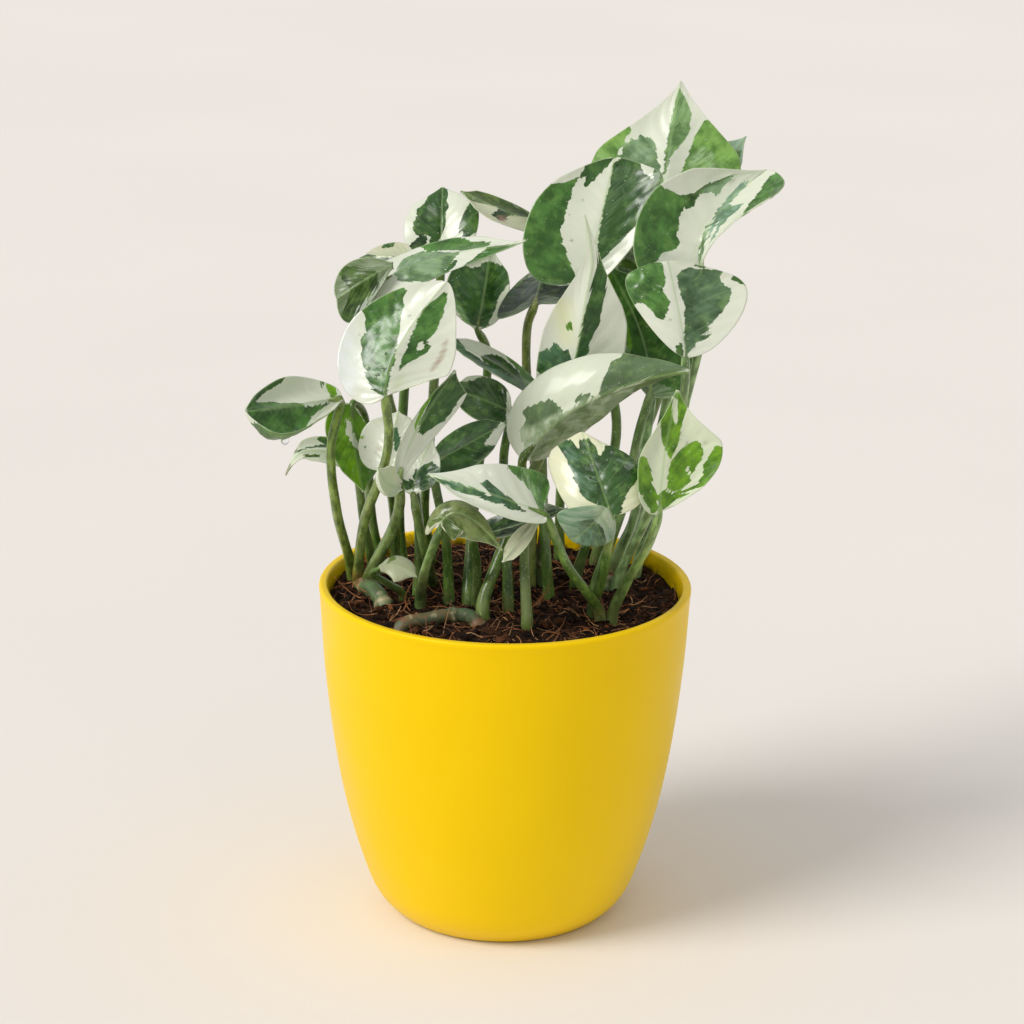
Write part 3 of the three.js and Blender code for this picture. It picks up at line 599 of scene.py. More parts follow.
def turned(vector, start, end):
    """The vector after the smallest turn that takes the start direction to the end direction."""
    axis = np.cross(start, end)
    cosine = np.sum(start * end, axis=-1, keepdims=True)
    once = np.cross(axis, vector)
    return vector + once + np.cross(axis, once) / (1 + cosine)


def half_breadth(along, widest, shoulder, point):
    """1 where the blade is widest and 0 at its base, narrowing to the drawn-out tip."""
    power = math.log(0.5) / math.log(widest)
    share = np.clip(along, 1e-4, 0.9999) ** power
    oval = np.sin(math.pi * share) ** OVAL_FULLNESS
    narrowing = np.clip((along - shoulder) / (1 - shoulder), 0, None)
    return oval * (1 - point * narrowing**1.2)


def side_values(leaf, side):
    widest = leaf["widest"][side]
    reach = np.array(leaf["blade"][3 + side], float) - midrib_point(leaf, widest)
    return widest, reach, leaf["shoulder"], leaf["point"][side]


def side_point(leaf, along, across, side):
    widest, reach, shoulder, pointed = side_values(leaf, side)
    share = np.abs(across)
    lobe = np.sin(math.pi * np.minimum((np.clip(along, 0, None) / LOBE_END) ** 0.6, 1))
    station = along - leaf["lobe"][side] * lobe * share
    direction = midrib_direction(leaf, station)
    sideways = turned(reach, midrib_direction(leaf, np.float64(widest)), direction)
    breadth = half_breadth(along, widest, shoulder, pointed)
    upward = np.cross(direction, sideways) if side == 0 else np.cross(sideways, direction)
    hollow = -leaf["cup"][side] * 4 * share * (1 - share) * breadth
    wave = leaf["wave"] * share**2 * breadth * np.sin(WAVE_COUNT * along + 2 * side)
    point = midrib_point(leaf, station) + sideways * (breadth * share)[..., None]
    return point + unit(upward) * (hollow + wave)[..., None]


def blade_point(leaf, along, across):
    """A point of the middle surface, with across from -1 at the left margin to 1 at the right."""
    along, across = np.broadcast_arrays(np.asarray(along, float), np.asarray(across, float))
    left = side_point(leaf, along, across, 0)
    right = side_point(leaf, along, across, 1)
    return np.where((across < 0)[..., None], left, right)


def laid_flat(leaf, along, across):
    """Where a point lies, in millimetres, on the blade laid flat: x across it and y along it."""
    along, across = np.broadcast_arrays(np.asarray(along, float), np.asarray(across, float))
    base, middle, tip = np.array(leaf["blade"][:3], float)
    length = np.linalg.norm(middle - base) + np.linalg.norm(tip - middle)
    width = np.zeros_like(along)
    for side in (0, 1):
        widest, reach, shoulder, pointed = side_values(leaf, side)
        breadth = np.linalg.norm(reach) * half_breadth(along, widest, shoulder, pointed)
        width = np.where((across < 0) == (side == 0), breadth, width)
    return np.stack([across * width, along * length], axis=-1)


# Markings laid on the blades
SEEN_ROWS = 201
SEEN_COLUMNS = 231
PAST_MARGIN = 1.15
BEHIND_COST = 0.02
MARGIN_COST = 0.6
RUNS_OFF = 0.9
RUN_OFF_STRETCH = 1.35
SOFT_SHARE = 0.6
SOFT_EDGE = 0.8
VEIL_EDGE = 0.5
GREEN_EDGE = 0.35
FARTHEST = 9.0


def linear(screen):
    """Screen colour from 0 to 255 to Blender's linear colour."""
    share = np.asarray(screen, float) / 255
    return np.where(share <= 0.04045, share / 12.92, ((share + 0.055) / 1.055) ** 2.4)


def outline_distance(points, outline):
    """Millimetres from each point to the closed outline, positive inside it."""
    x, y = points[..., 0], points[..., 1]
    nearest = np.full(x.shape, 1e9)
    inside = np.zeros(x.shape, bool)
    for (x0, y0), (x1, y1) in zip(outline, np.roll(outline, -1, axis=0)):
        dx, dy = x1 - x0, y1 - y0
        share = np.clip(((x - x0) * dx + (y - y0) * dy) / max(dx * dx + dy * dy, 1e-9), 0, 1)
        nearest = np.minimum(nearest, np.hypot(x - x0 - share * dx, y - y0 - share * dy))
        crosses = (y0 > y) != (y1 > y)
        rise = np.where(np.abs(dy) < 1e-9, 1e-9, dy)
        inside ^= crosses & (x < x0 + dx * (y - y0) / rise)
    return np.where(inside, nearest, -nearest)


def camera_axes():
    """The camera's forward, right and up directions."""
    level = math.cos(CAMERA_PITCH)
    forward = [math.sin(CAMERA_YAW) * level, math.cos(CAMERA_YAW) * level, -math.sin(CAMERA_PITCH)]
    forward = np.array(forward)
    sideways = unit(np.cross(forward, [0, 0, 1]))
    upright = np.cross(sideways, forward)
    right = math.cos(CAMERA_ROLL) * sideways + math.sin(CAMERA_ROLL) * upright
    up = math.cos(CAMERA_ROLL) * upright - math.sin(CAMERA_ROLL) * sideways
    return forward, right, up


def photo_place(points):
    """The pixel of the photo where each point in millimetres is seen."""
    forward, right, up = camera_axes()
    away = points * MM - np.array(CAMERA_PLACE)
    scale = LENS / SENSOR * PHOTO_SIZE / (away @ forward)
    return PHOTO_SIZE / 2 + scale * (away @ right), PHOTO_SIZE / 2 - scale * (away @ up)


def blade_in_photo(leaf):
    """A close grid over the blade and a little past its margins: shares along and across it, the pixel of
    each point, and a cost in pixels for points at the back or past the margin."""
    rows = np.linspace(0, 1, SEEN_ROWS)
    columns = np.linspace(-PAST_MARGIN, PAST_MARGIN, SEEN_COLUMNS)
    along, across = np.meshgrid(rows, columns, indexing="ij")
    points = blade_point(leaf, along, across)
    depth = points[..., 1] - points[..., 1].min()
    cost = BEHIND_COST * depth + MARGIN_COST * np.maximum(0, np.abs(across) - 1)
    return along, across, *photo_place(points), cost


def read_markings(name):
    """The blade's markings, each as its tone and its outline's pixels."""
    rows = []
    for word in MARKINGS.get(name, "").split():
        if "," in word:
            rows[-1][1].append([int(value) for value in word.split(",")])
        else:
            rows.append((word, []))
    return rows


def outline_on_blade(seen, outline):
    """An outline's pixels as shares along and across the blade: each pixel takes the nearest point."""
    along, across, x, y, cost = seen
    shares = []
    for column, row in outline:
        nearest = np.argmin(np.hypot(x - column, y - row) + cost)
        shares.append((along.flat[nearest], across.flat[nearest]))
    return np.array(shares).T


def blended(pairs, shape):
    """The tones of some markings, each weighted at each point."""
    total, weights = np.zeros(shape + (3,)), np.full(shape, 1e-12)
    for tone, weight in pairs:
        total += weight[..., None] * linear(TONES[tone])
        weights += weight
    return total / weights[..., None]


def painted(leaf, name, along, across):
    """The fields that paint a blade: how far each point is inside the green, the veil, the holes in them and
    the scar, and the colours of the ground, of the green and of the veil there."""
    flat = laid_flat(leaf, along, across)
    inside = {kind: np.full(along.shape, -FARTHEST) for kind in ("green", "veil", "scar", "hole")}
    ground = np.broadcast_to(linear(TONES[GROUNDS.get(name, "cream")]), along.shape + (3,)).copy()
    greens, veils = [], []
    seen = blade_in_photo(leaf)
    for place, (tone, outline) in enumerate(read_markings(name)):
        steps, sides = outline_on_blade(seen, outline)
        sides = np.where(np.abs(sides) > RUNS_OFF, sides * RUN_OFF_STRETCH, sides)
        distance = outline_distance(flat, laid_flat(leaf, steps, sides))
        if tone.endswith("_soft"):
            share = SOFT_SHARE / (1 + np.exp(-distance / SOFT_EDGE))
            ground += share[..., None] * (linear(TONES[tone]) - ground)
            continue
        kind = tone if tone in inside else "veil" if tone.startswith("veil") else "green"
        inside[kind] = np.maximum(inside[kind], distance)
        if kind == "veil":
            veils.append((tone, np.exp(np.clip(distance, -6, 3) / VEIL_EDGE)))
        elif kind == "green":
            weight = np.exp(np.clip(distance, -6, 1.5) / GREEN_EDGE)
            greens.append((tone, weight * (1 + 2 * place)))
    kept = {kind: np.minimum(inside[kind], -inside["hole"]) for kind in ("green", "veil")}
    return {
        "green": np.clip(kept["green"], -FARTHEST, FARTHEST),
        "veil": np.clip(kept["veil"], -FARTHEST, FARTHEST),
        "scar": np.clip(inside["scar"], -FARTHEST, FARTHEST),
        "ground_colour": ground,
        "green_colour": blended(greens, along.shape),
        "veil_colour": blended(veils, along.shape),
    }


def vein_phase(along, across):
    """Counts the side veins: a whole number on each, which leaves the midrib and bends to the tip."""
    share = np.abs(across)
    risen = along - VEIN_RISE * share * (1.25 - 0.35 * share)
    return VEIN_PAIRS * risen + np.where(across < 0, VEIN_OFFSET, 0)


def rough(points, size, seed):
    """Smooth noise from -1 to 1 at each point in millimetres, with bumps of about that size."""
    shift = Vector((seed * 3.7, seed * 1.3, seed * 2.1))
    values = [noise.noise(Vector(p) / size + shift) for p in points.reshape(-1, 3)]
    return np.array(values).reshape(points.shape[:-1])


def grid_normals(points):
    return unit(np.cross(np.gradient(points, axis=1), np.gradient(points, axis=0)))


def blade_grid():
    """Shares along and across a blade, closer to each other at its ends and its margins."""
    row = np.linspace(0, 1, BLADE_ROWS)
    along = 0.006 + 0.991 * (0.35 * row + 0.65 * (1 - np.cos(math.pi * row)) / 2)
    column = np.linspace(-1, 1, 2 * BLADE_COLUMNS + 1)
    across = np.sign(column) * (1 - (1 - np.abs(column)) ** 1.15)
    return np.meshgrid(along, across, indexing="ij")


ALONG, ACROSS = blade_grid()


def blade_faces(leaf, name, seed):
    """The upper and the lower face of a blade, each a grid of points, with what paints them."""
    middle = blade_point(leaf, ALONG, ACROSS)
    normal = grid_normals(middle)
    flat = laid_flat(leaf, ALONG, ACROSS)
    share = np.abs(ACROSS)
    phase = vein_phase(ALONG, ACROSS)
    spacing = flat[-1, BLADE_COLUMNS, 1] / VEIN_PAIRS
    size = min(1.0, spacing / FULL_SPACING)
    off_vein = np.abs(phase - np.round(phase)) * spacing
    from_midrib = np.abs(flat[..., 0])
    paint = painted(leaf, name, ALONG, ACROSS)

    # Quilting between the side veins, and blisters in the green
    quilt = 0.5 - 0.5 * np.cos(2 * math.pi * phase)
    fade = np.clip((1 - share) / 0.25, 0, 1) * np.clip(ALONG / 0.08, 0, 1) * np.clip((1 - ALONG) / 0.1, 0, 1)
    quilting = QUILT_HEIGHT * quilt * np.clip(from_midrib / 3, 0, 1)
    relief = size * fade * (quilting - VEIN_DEPTH * np.exp(-((off_vein / 0.4) ** 2)))
    in_green = np.clip(0.5 + paint["green"] / 1.6, 0.12, 1)
    relief += fade * BLISTERED.get(name, BLISTER_HEIGHT) * in_green * rough(middle, BLISTER_SIZE, seed)
    sway = SWAY_HEIGHT * size * rough(middle, SWAY_SIZE, seed + 5)
    sway += RUFFLE_HEIGHT * share**3 * size * rough(middle, RUFFLE_SIZE, seed + 9)

    # A groove over the midrib and a ridge under it, both narrowing to the tip
    taper = np.clip(1 - ALONG, 0, 1)
    groove = GROOVE_DEPTH * np.exp(-((from_midrib / (0.5 + 0.5 * taper)) ** 2)) * np.clip(1.05 - ALONG, 0, 1)
    ridge_height = RIDGE_HEIGHT_AT_TIP + RIDGE_HEIGHT * taper**1.3
    ridge = ridge_height * np.exp(-((from_midrib / (0.45 + 0.9 * taper)) ** 2))
    half = BLADE_THICKNESS / 2 * (1 - MARGIN_THINNING * share**6)
    offset = (sway + relief)[..., None] * normal
    upper = middle + offset + (half - groove)[..., None] * normal
    lower = middle + offset - (half + ridge)[..., None] * normal

    margin = np.abs(laid_flat(leaf, ALONG, np.where(ACROSS < 0, -1.0, 1.0))[..., 0])
    paint["from_midrib"] = np.clip(from_midrib, 0, FARTHEST)
    paint["from_margin"] = np.clip(margin - from_midrib, 0, FARTHEST)
    paint["off_vein"] = np.clip(off_vein, 0, FARTHEST)
    course = [from_midrib * 0.25, phase * spacing, np.full(ALONG.shape, seed * 7.3)]
    paint["course"] = np.stack(course, axis=-1)
    return upper, lower, paint


# Pieces
def add_attributes(mesh, fields):
    for key, values in fields.items():
        values = np.asarray(values, np.float32)
        kind, part = "FLOAT", "value"
        if key.endswith("_colour"):
            values = np.concatenate([values, np.ones((len(values), 1), np.float32)], axis=1)
            kind, part = "FLOAT_COLOR", "color"
        elif values.ndim == 2:
            kind, part = "FLOAT_VECTOR", "vector"
        mesh.attributes.new(key, kind, "POINT").data.foreach_set(part, values.ravel())


class Sheets:
    """Gathers the parts of one piece: their points in millimetres, faces, materials and painted fields."""

    def __init__(self):
        self.points, self.faces, self.slots, self.fields = [], [], [], []
        self.count = 0

    def add(self, points, faces, slot=0, fields=None):
        points = np.asarray(points, float).reshape(-1, 3)
        self.points.append(points)
        self.faces += [tuple(index + self.count for index in face) for face in faces]
        self.slots += [slot] * len(faces)
        self.fields.append({key: np.asarray(value) for key, value in (fields or {}).items()})
        self.count += len(points)

    def joined_fields(self):
        """Each painted field over all parts, and 0 on the parts that don't have it."""
        widths = {key: value.shape[1:] for fields in self.fields for key, value in fields.items()}
        joined = {}
        for key, width in widths.items():
            parts = zip(self.fields, self.points)
            rows = [fields.get(key, np.zeros((len(points),) + width)) for fields, points in parts]
            joined[key] = np.concatenate(rows)
        return joined

    def build(self, name, materials, smooth=True):
        mesh = bpy.data.meshes.new(name)
        mesh.from_pydata((np.concatenate(self.points) * MM).tolist(), [], self.faces)
        mesh.polygons.foreach_set("material_index", self.slots)
        mesh.polygons.foreach_set("use_smooth", [smooth] * len(self.faces))
        add_attributes(mesh, self.joined_fields())
        for material in materials:
            mesh.materials.append(material)
        mesh.validate()
        piece = bpy.data.objects.new(name, mesh)
        bpy.context.scene.collection.objects.link(piece)
        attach(piece, "root")
        return piece


def on_circle(radius, step, steps):
    angle = 2 * math.pi * step / steps
    return radius * math.cos(angle), radius * math.sin(angle)


def ring_quads(rings, sides, start=0):
    """Faces between closed rings of points that follow each other."""
    quads = []
    for ring in range(rings - 1):
        for side in range(sides):
            a = start + ring * sides + side
            b = start + ring * sides + (side + 1) % sides
            quads.append((a, b, b + sides, a + sides))
    return quads


def grid_quads(rows, columns):
    quads = []
    for row in range(rows - 1):
        for column in range(columns - 1):
            a = row * columns + column
            quads.append((a, a + 1, a + 1 + columns, a + columns))
    return quads


def lathe(profile, sides):
    """Points and faces of the profile's heights and radii, turned about the Z axis."""
    points = []
    for height, radius in profile:
        points += [(*on_circle(radius, side, sides), height) for side in range(sides)]
    return points, ring_quads(len(profile), sides)


def add_blade(sheets, leaf, name, seed):
    """Adds a blade to the piece and gives its upper face."""
    upper, lower, paint = blade_faces(leaf, name, seed)
    rows, columns = upper.shape[:2]
    count = rows * columns
    quads = grid_quads(rows, columns)
    quads += [tuple(count + index for index in quad[::-1]) for quad in quads]
    border = list(range(columns))
    border += [row * columns + columns - 1 for row in range(1, rows)]
    border += [(rows - 1) * columns + column for column in range(columns - 2, -1, -1)]
    border += [row * columns for row in range(rows - 2, 0, -1)]
    for here, after in zip(border, border[1:] + border[:1]):
        quads.append((after, here, count + here, count + after))
    fields = {}
    for key, value in paint.items():
        value = value.reshape(count, -1) if value.ndim == 3 else value.reshape(count)
        fields[key] = np.concatenate([value, value])
    fields["under"] = np.concatenate([np.zeros(count), np.ones(count)])
    sheets.add([*upper.reshape(-1, 3), *lower.reshape(-1, 3)], quads, 0, fields)
    return upper


# Petioles and vine
PETIOLE_SIDES = 14
PETIOLE_STEP = 1.3
FOOT_SWELL = 0.22
FOOT_SWELL_LENGTH = 9
STEM_SIDES = 22
STEM_STEP = 0.7
RING_HEIGHT = 0.4
RING_WIDTH = 0.7
GROOVE_BY_RING = 0.12


def course_point(points, share):
    """A point of the smooth curve through the points, by its share of the way in even steps between them."""
    points = [np.array(p, float) for p in points]
    points = [2 * points[0] - points[1], *points, 2 * points[-1] - points[-2]]
    spans = len(points) - 3
    place = min(max(share, 0), 1) * spans
    span = min(int(place), spans - 1)
    p0, p1, p2, p3 = points[span : span + 4]
    d0, d1, d2 = (max(np.linalg.norm(b - a), 1e-6) ** 0.5 for a, b in ((p0, p1), (p1, p2), (p2, p3)))
    start = ((p1 - p0) / d0 - (p2 - p0) / (d0 + d1) + (p2 - p1) / d1) * d1
    end = ((p2 - p1) / d1 - (p3 - p1) / (d1 + d2) + (p3 - p2) / d2) * d1
    t = place - span
    spread = 2 * p1 - 2 * p2 + start + end
    bend = -3 * p1 + 3 * p2 - 2 * start - end
    return spread * t**3 + bend * t**2 + start * t + p1


def even_course(points, step):
    """The same curve as points a set distance apart."""
    dense = np.array([course_point(points, share) for share in np.linspace(0, 1, 400)])
    lengths = np.concatenate([[0], np.cumsum(np.linalg.norm(np.diff(dense, axis=0), axis=1))])
    wanted = np.linspace(0, lengths[-1], max(4, int(lengths[-1] / step)))
    course = np.stack([np.interp(wanted, lengths, dense[:, axis]) for axis in range(3)], axis=1)
    return course, wanted


def blend_tones(first, second, share):
    return linear(first) + share * (linear(second) - linear(first))


def hill(distance, width):
    """1 at the middle of a rounded hill of that half width, falling to 0."""
    return math.exp(-((distance / width) ** 2))


def add_tube(sheets, points, radius_at, sides, step, slot, tone_at, seed):
    """A round stalk along the points. radius_at and tone_at give its radius and its colour from the distance
    along it and its whole length."""
    course, lengths = even_course(points, step)
    tangents = unit(np.gradient(course, axis=0))
    sideways = unit(np.cross(tangents[0], [0.31, 0.95, 0.05]))
    rings, around, tones = [], [], []
    for place, tangent, length in zip(course, tangents, lengths):
        sideways = unit(sideways - tangent * np.dot(sideways, tangent))
        other = np.cross(tangent, sideways)
        radius = radius_at(length, lengths[-1])
        for side in range(sides):
            right, up = on_circle(1, side, sides)
            swell = 1 + 0.05 * noise.noise(Vector((right, up, length / 9 + seed)))
            rings.append(place + radius * swell * (right * sideways + up * other))
            around.append((right * 2, up * 2, length / 2.2 + 11 * seed))
        tones += [tone_at(length, lengths[-1])] * sides
    faces = ring_quads(len(course), sides)
    faces.append(tuple(range(sides - 1, -1, -1)))
    faces.append(tuple((len(course) - 1) * sides + side for side in range(sides)))
    sheets.add(rings, faces, slot, {"course": np.array(around), "stalk_colour": np.array(tones)})


def petiole_points(leaf):
    """From under the soil, past the points of its route, to the underside of the blade's midrib."""
    x, y = leaf["foot"]
    near_base = np.meshgrid([0.02, 0.05, 0.08], [-0.1, 0, 0.1], indexing="ij")
    normal = grid_normals(blade_point(leaf, *near_base))[1, 1]
    return [
        (x, y, SOIL_LEVEL - PETIOLE_SINK),
        (x, y, SOIL_LEVEL + 2),
        *leaf["via"],
        np.array(leaf["blade"][0], float) - 0.9 * normal,
        blade_point(leaf, 0.08, 0) - 0.7 * normal,
        blade_point(leaf, 0.16, 0) - 0.45 * normal,
    ]


def add_petiole(sheets, leaf, name, seed):
    tone = STALK_TONES.get(name, TONES["stalk"])
    foot_tone = FOOT_TONES.get(name, tone)

    def radius_at(length, whole):
        left = whole - length
        foot = 1 + FOOT_SWELL * hill(length - PETIOLE_SINK, FOOT_SWELL_LENGTH)
        slimmer = 0.9 if left < 25 else 0.9 + 0.1 * min(1, (left - 25) / 20)
        return leaf["stalk"] * foot * min(1, 0.35 + left / 12) * slimmer

    def tone_at(length, whole):
        return blend_tones(tone, foot_tone, 0.75 * hill(length - 13, 4.5))

    add_tube(sheets, petiole_points(leaf), radius_at, PETIOLE_SIDES, PETIOLE_STEP, 1, tone_at, seed)


def add_stem(sheets, part, name, seed):
    old, young = BARK_TONES[name]

    def from_ring(length, whole):
        return min(abs(length - share * whole) for share in part["rings"])

    def radius_at(length, whole):
        near = from_ring(length, whole)
        return part["radius"] + RING_HEIGHT * hill(near, RING_WIDTH) - GROOVE_BY_RING * hill(near - 1.6, 0.8)

    def tone_at(length, whole):
        change = 1 / (1 + math.exp(-(length / whole - part["rings"][0]) / 0.02))
        bark = blend_tones(old, young, change)
        return bark + 0.9 * hill(from_ring(length, whole), 0.85) * (linear(TONES["ring_scar"]) - bark)

    add_tube(sheets, part["path"], radius_at, STEM_SIDES, STEM_STEP, 0, tone_at, seed)


def make_stems(material):
    for seed, (name, part) in enumerate(STEMS.items()):
        sheets = Sheets()
        add_stem(sheets, part, name, seed + 60)
        piece = sheets.build("fine_" + name, [material])
        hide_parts(name)


def make_leaves(materials):
    """One piece for each leaf: blade, folded lobe and petiole. Gives the blades' upper faces."""
    surfaces = {}
    for seed, (name, leaf) in enumerate(LEAVES.items()):
        sheets = Sheets()
        surfaces[name] = add_blade(sheets, leaf, name, seed)
        if name in LOBES:
            surfaces[name + "/lobe"] = add_blade(sheets, LOBES[name], name + "/lobe", seed + 40)
        add_petiole(sheets, leaf, name, seed)
        piece = sheets.build("fine_" + name, materials)
        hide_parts("leaf_" + name)
    return surfaces


# Water beads: how many on a blade, and where along and across it
BEADS = {
    "big_white": (46, (0.12, 0.8), (-0.75, 0.1)),
    "cup_left": (14, (0.2, 0.8), (-0.8, 0.0)),
    "round_patch": (22, (0.15, 0.8), (-0.4, 0.7)),
    "round_patch/lobe": (18, (0.15, 0.8), (-0.7, 0.7)),
    "right_upper": (26, (0.1, 0.6), (-0.9, -0.2)),
    "centre_large": (18, (0.1, 0.8), (-0.9, -0.3)),
    "heart_right": (20, (0.3, 0.9), (-0.9, -0.2)),
    "fold_white": (10, (0.4, 0.95), (-0.2, 0.9)),
    "lime_right": (12, (0.15, 0.7), (0.1, 0.8)),
}
BEAD_RADII = (0.18, 0.6)
BEAD_FLATNESS = 0.45
BEAD_RINGS = 7
BEAD_SIDES = 12
HANGING_LEAF = "cup_left"
HANGING_RADIUS = 1.3
HANGING_STRETCH = 1.15


def add_bead(sheets, centre, outward, radius, flatness):
    """A low dome of water, or a round drop where flatness is about 1."""
    side = unit(np.cross(outward, [0.3, 0.2, 0.93]))
    other = np.cross(outward, side)
    points = [centre - outward * radius * flatness]
    for ring in range(1, BEAD_RINGS):
        polar = math.pi * ring / BEAD_RINGS
        for step in range(BEAD_SIDES):
            right, up = on_circle(1, step, BEAD_SIDES)
            flat = radius * math.sin(polar) * (right * side + up * other)
            points.append(centre + flat - outward * radius * flatness * math.cos(polar))
    points.append(centre + outward * radius * flatness)
    last = len(points) - 1
    start = last - BEAD_SIDES
    turns = [(step, (step + 1) % BEAD_SIDES) for step in range(BEAD_SIDES)]
    faces = [(0, 1 + after, 1 + here) for here, after in turns]
    faces += ring_quads(BEAD_RINGS - 1, BEAD_SIDES, 1)
    faces += [(start + here, start + after, last) for here, after in turns]
    sheets.add(points, faces)


def make_beads(surfaces, material):
    """Beads of water on the upper faces, and the drop that hangs from the left leaf."""
    draw = random.Random(5)
    sheets = Sheets()
    for name, (count, (first, last), (left, right)) in BEADS.items():
        upper = surfaces[name]
        normals = grid_normals(upper)
        spots = np.argwhere((ALONG > first) & (ALONG < last) & (ACROSS > left) & (ACROSS < right))
        for _ in range(count):
            row, column = spots[draw.randrange(len(spots))]
            radius = BEAD_RADII[0] + (BEAD_RADII[1] - BEAD_RADII[0]) * draw.random() ** 2.5
            add_bead(sheets, upper[row, column], normals[row, column], radius, BEAD_FLATNESS)
    upper = surfaces[HANGING_LEAF].reshape(-1, 3)
    lowest = upper[np.argmin(upper[:, 2])] - [0, 0, 0.65 * HANGING_RADIUS]
    add_bead(sheets, lowest, np.array([0, 0, 1.0]), HANGING_RADIUS, HANGING_STRETCH)
    piece = sheets.build("water_beads", [material])


# Pot
POT_SIDES = 160
DRAIN_SIDES = 32
PROFILE_STEPS = 70
INSIDE_STEPS = 30
OUTER_PROFILE = [
    (0, 34.5), (0.5, 35.9), (1.7, 37.3), (4.5, 40.1), (9, 42.9), (16, 45.5), (27, 48.9), (43, 52.7),
    (63, 55.9), (85, 58.3), (103, 59.4), (108, 59.7),
]
LIP_PROFILE = [
    (109.6, 59.9), (110.3, 59.85), (110.8, 59.55), (111, 59.1), (111, 58.2), (110.9, 57.6), (110.4, 57.1),
]


def smooth_profile(points, steps):
    """The profile rounded by a curve through its points, each a height and a radius."""
    spatial = [(radius, 0, height) for height, radius in points]
    curve = [course_point(spatial, share) for share in np.linspace(0, 1, steps)]
    return [(point[2], point[0]) for point in curve]


def cut_drains(piece):
    """Opens the drain holes in the pot's floor."""
    for hole in range(DRAIN_COUNT):
        x, y = on_circle(DRAIN_RING, hole + 0.5, DRAIN_COUNT)
        bpy.ops.mesh.primitive_cylinder_add(
            vertices=DRAIN_SIDES, radius=DRAIN_RADIUS * MM, depth=4 * FLOOR * MM,
            location=[x * MM, y * MM, FLOOR / 2 * MM],
        )
        drill = bpy.context.object
        cut = piece.modifiers.new("drain", "BOOLEAN")
        cut.operation, cut.solver, cut.object = "DIFFERENCE", "EXACT", drill
        bpy.context.view_layer.objects.active = piece
        bpy.ops.object.modifier_apply(modifier=cut.name)
        bpy.data.objects.remove(drill)


def make_pot(material):
    outside = smooth_profile(OUTER_PROFILE + LIP_PROFILE, PROFILE_STEPS)
    inner = [(height, radius - WALL) for height, radius in OUTER_PROFILE if height > FLOOR + 4]
    inside = smooth_profile(inner, INSIDE_STEPS)[::-1]
    profile = outside + inside + [(FLOOR + 0.6, inside[-1][1] - 1.6), (FLOOR, inside[-1][1] - 3)]
    points, faces = lathe(profile, POT_SIDES)
    faces.append(tuple(range(POT_SIDES - 1, -1, -1)))
    faces.append(tuple(range(len(points) - POT_SIDES, len(points))))
    sheets = Sheets()
    sheets.add(points, faces)
    piece = sheets.build("fine_pot", [material])
    cut_drains(piece)
    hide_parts("pot")


# Soil
SOIL_RINGS = 100
SOIL_SIDES = 200
SOIL_EDGE = 56.2
SOIL_WALL = [(100, 56.2), (85, 54.6), (43, 49.2), (9, 39.2), (FLOOR + 0.4, 36)]
CRUMB_COUNT = 2600
CRUMB_EDGE = 54.5
CRUMB_SHADES = [0, 0, 0, 0, 0.1, 0.2, 0.35, 0.9]
FIBRE_COUNT = 520
FIBRE_EDGE = 52
FIBRE_REACH = 55
ANY_HEADING = 6.3
AERIAL_ROOT = [(31, -14, 122), (31.5, -15.5, 117), (30.2, -16.5, 112), (31.4, -17, 108), (32.4, -17.4, 104)]


def soil_height(x, y):
    """The top of the soil: a slight slope, low lumps and grain of three sizes."""
    slope = 0.6 * (y - x) / RIM_RADIUS
    lumps = 0.8 * math.sin(0.21 * x + 1) * math.sin(0.17 * y) + 0.5 * math.sin(0.43 * x - 0.37 * y)
    place = Vector((x, y, 0))
    grain = 1.1 * noise.noise(place / 5.5) + 0.9 * noise.noise(place / 2.2) + 0.45 * noise.noise(place / 0.9)
    return SOIL_LEVEL + slope + lumps + grain


def make_soil(material):
    """An uneven top over a closed body that fills the pot."""
    points = []
    for ring in range(SOIL_RINGS, 0, -1):
        for side in range(SOIL_SIDES):
            x, y = on_circle(SOIL_EDGE * ring / SOIL_RINGS, side, SOIL_SIDES)
            points.append((x, y, soil_height(x, y)))
    middle = len(points)
    points.append((0, 0, soil_height(0, 0)))
    walls, wall_faces = lathe(SOIL_WALL, SOIL_SIDES)
    start, bottom = middle + 1, middle + 1 + len(walls) - SOIL_SIDES
    points += walls
    last = middle - SOIL_SIDES
    turns = [(side, (side + 1) % SOIL_SIDES) for side in range(SOIL_SIDES)]
    faces = ring_quads(SOIL_RINGS, SOIL_SIDES)
    faces += [(last + here, last + after, middle) for here, after in turns]
    faces += [tuple(start + index for index in face[::-1]) for face in wall_faces]
    faces += [(here, start + here, start + after, after) for here, after in turns]
    faces.append(tuple(range(bottom, bottom + SOIL_SIDES)))
    sheets = Sheets()
    sheets.add(points, faces)
    piece = sheets.build("fine_soil", [material])
    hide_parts("soil")


def soil_spot(draw, edge):
    """A random point within the edge, spread evenly."""
    angle, radius = draw.uniform(0, 2 * math.pi), edge * math.sqrt(draw.random())
    return radius * math.cos(angle), radius * math.sin(angle)


def icosahedron():
    """The 12 corners, and the 20 triangles between corners one edge apart, each facing out."""
    golden = (1 + 5**0.5) / 2
    corners = [(0, a, b * golden) for a in (-1, 1) for b in (-1, 1)]
    corners += [(z, x, y) for x, y, z in corners] + [(y, z, x) for x, y, z in corners]
    points = [Vector(c) for c in corners]
    faces = []
    for a, b, c in combinations(range(12), 3):
        sides = [(points[p] - points[q]).length for p, q in ((a, b), (b, c), (a, c))]
        if max(sides) < 2.1:
            outward = (points[b] - points[a]).cross(points[c] - points[a]).dot(points[a]) > 0
            faces.append((a, b, c) if outward else (a, c, b))
    return corners, faces


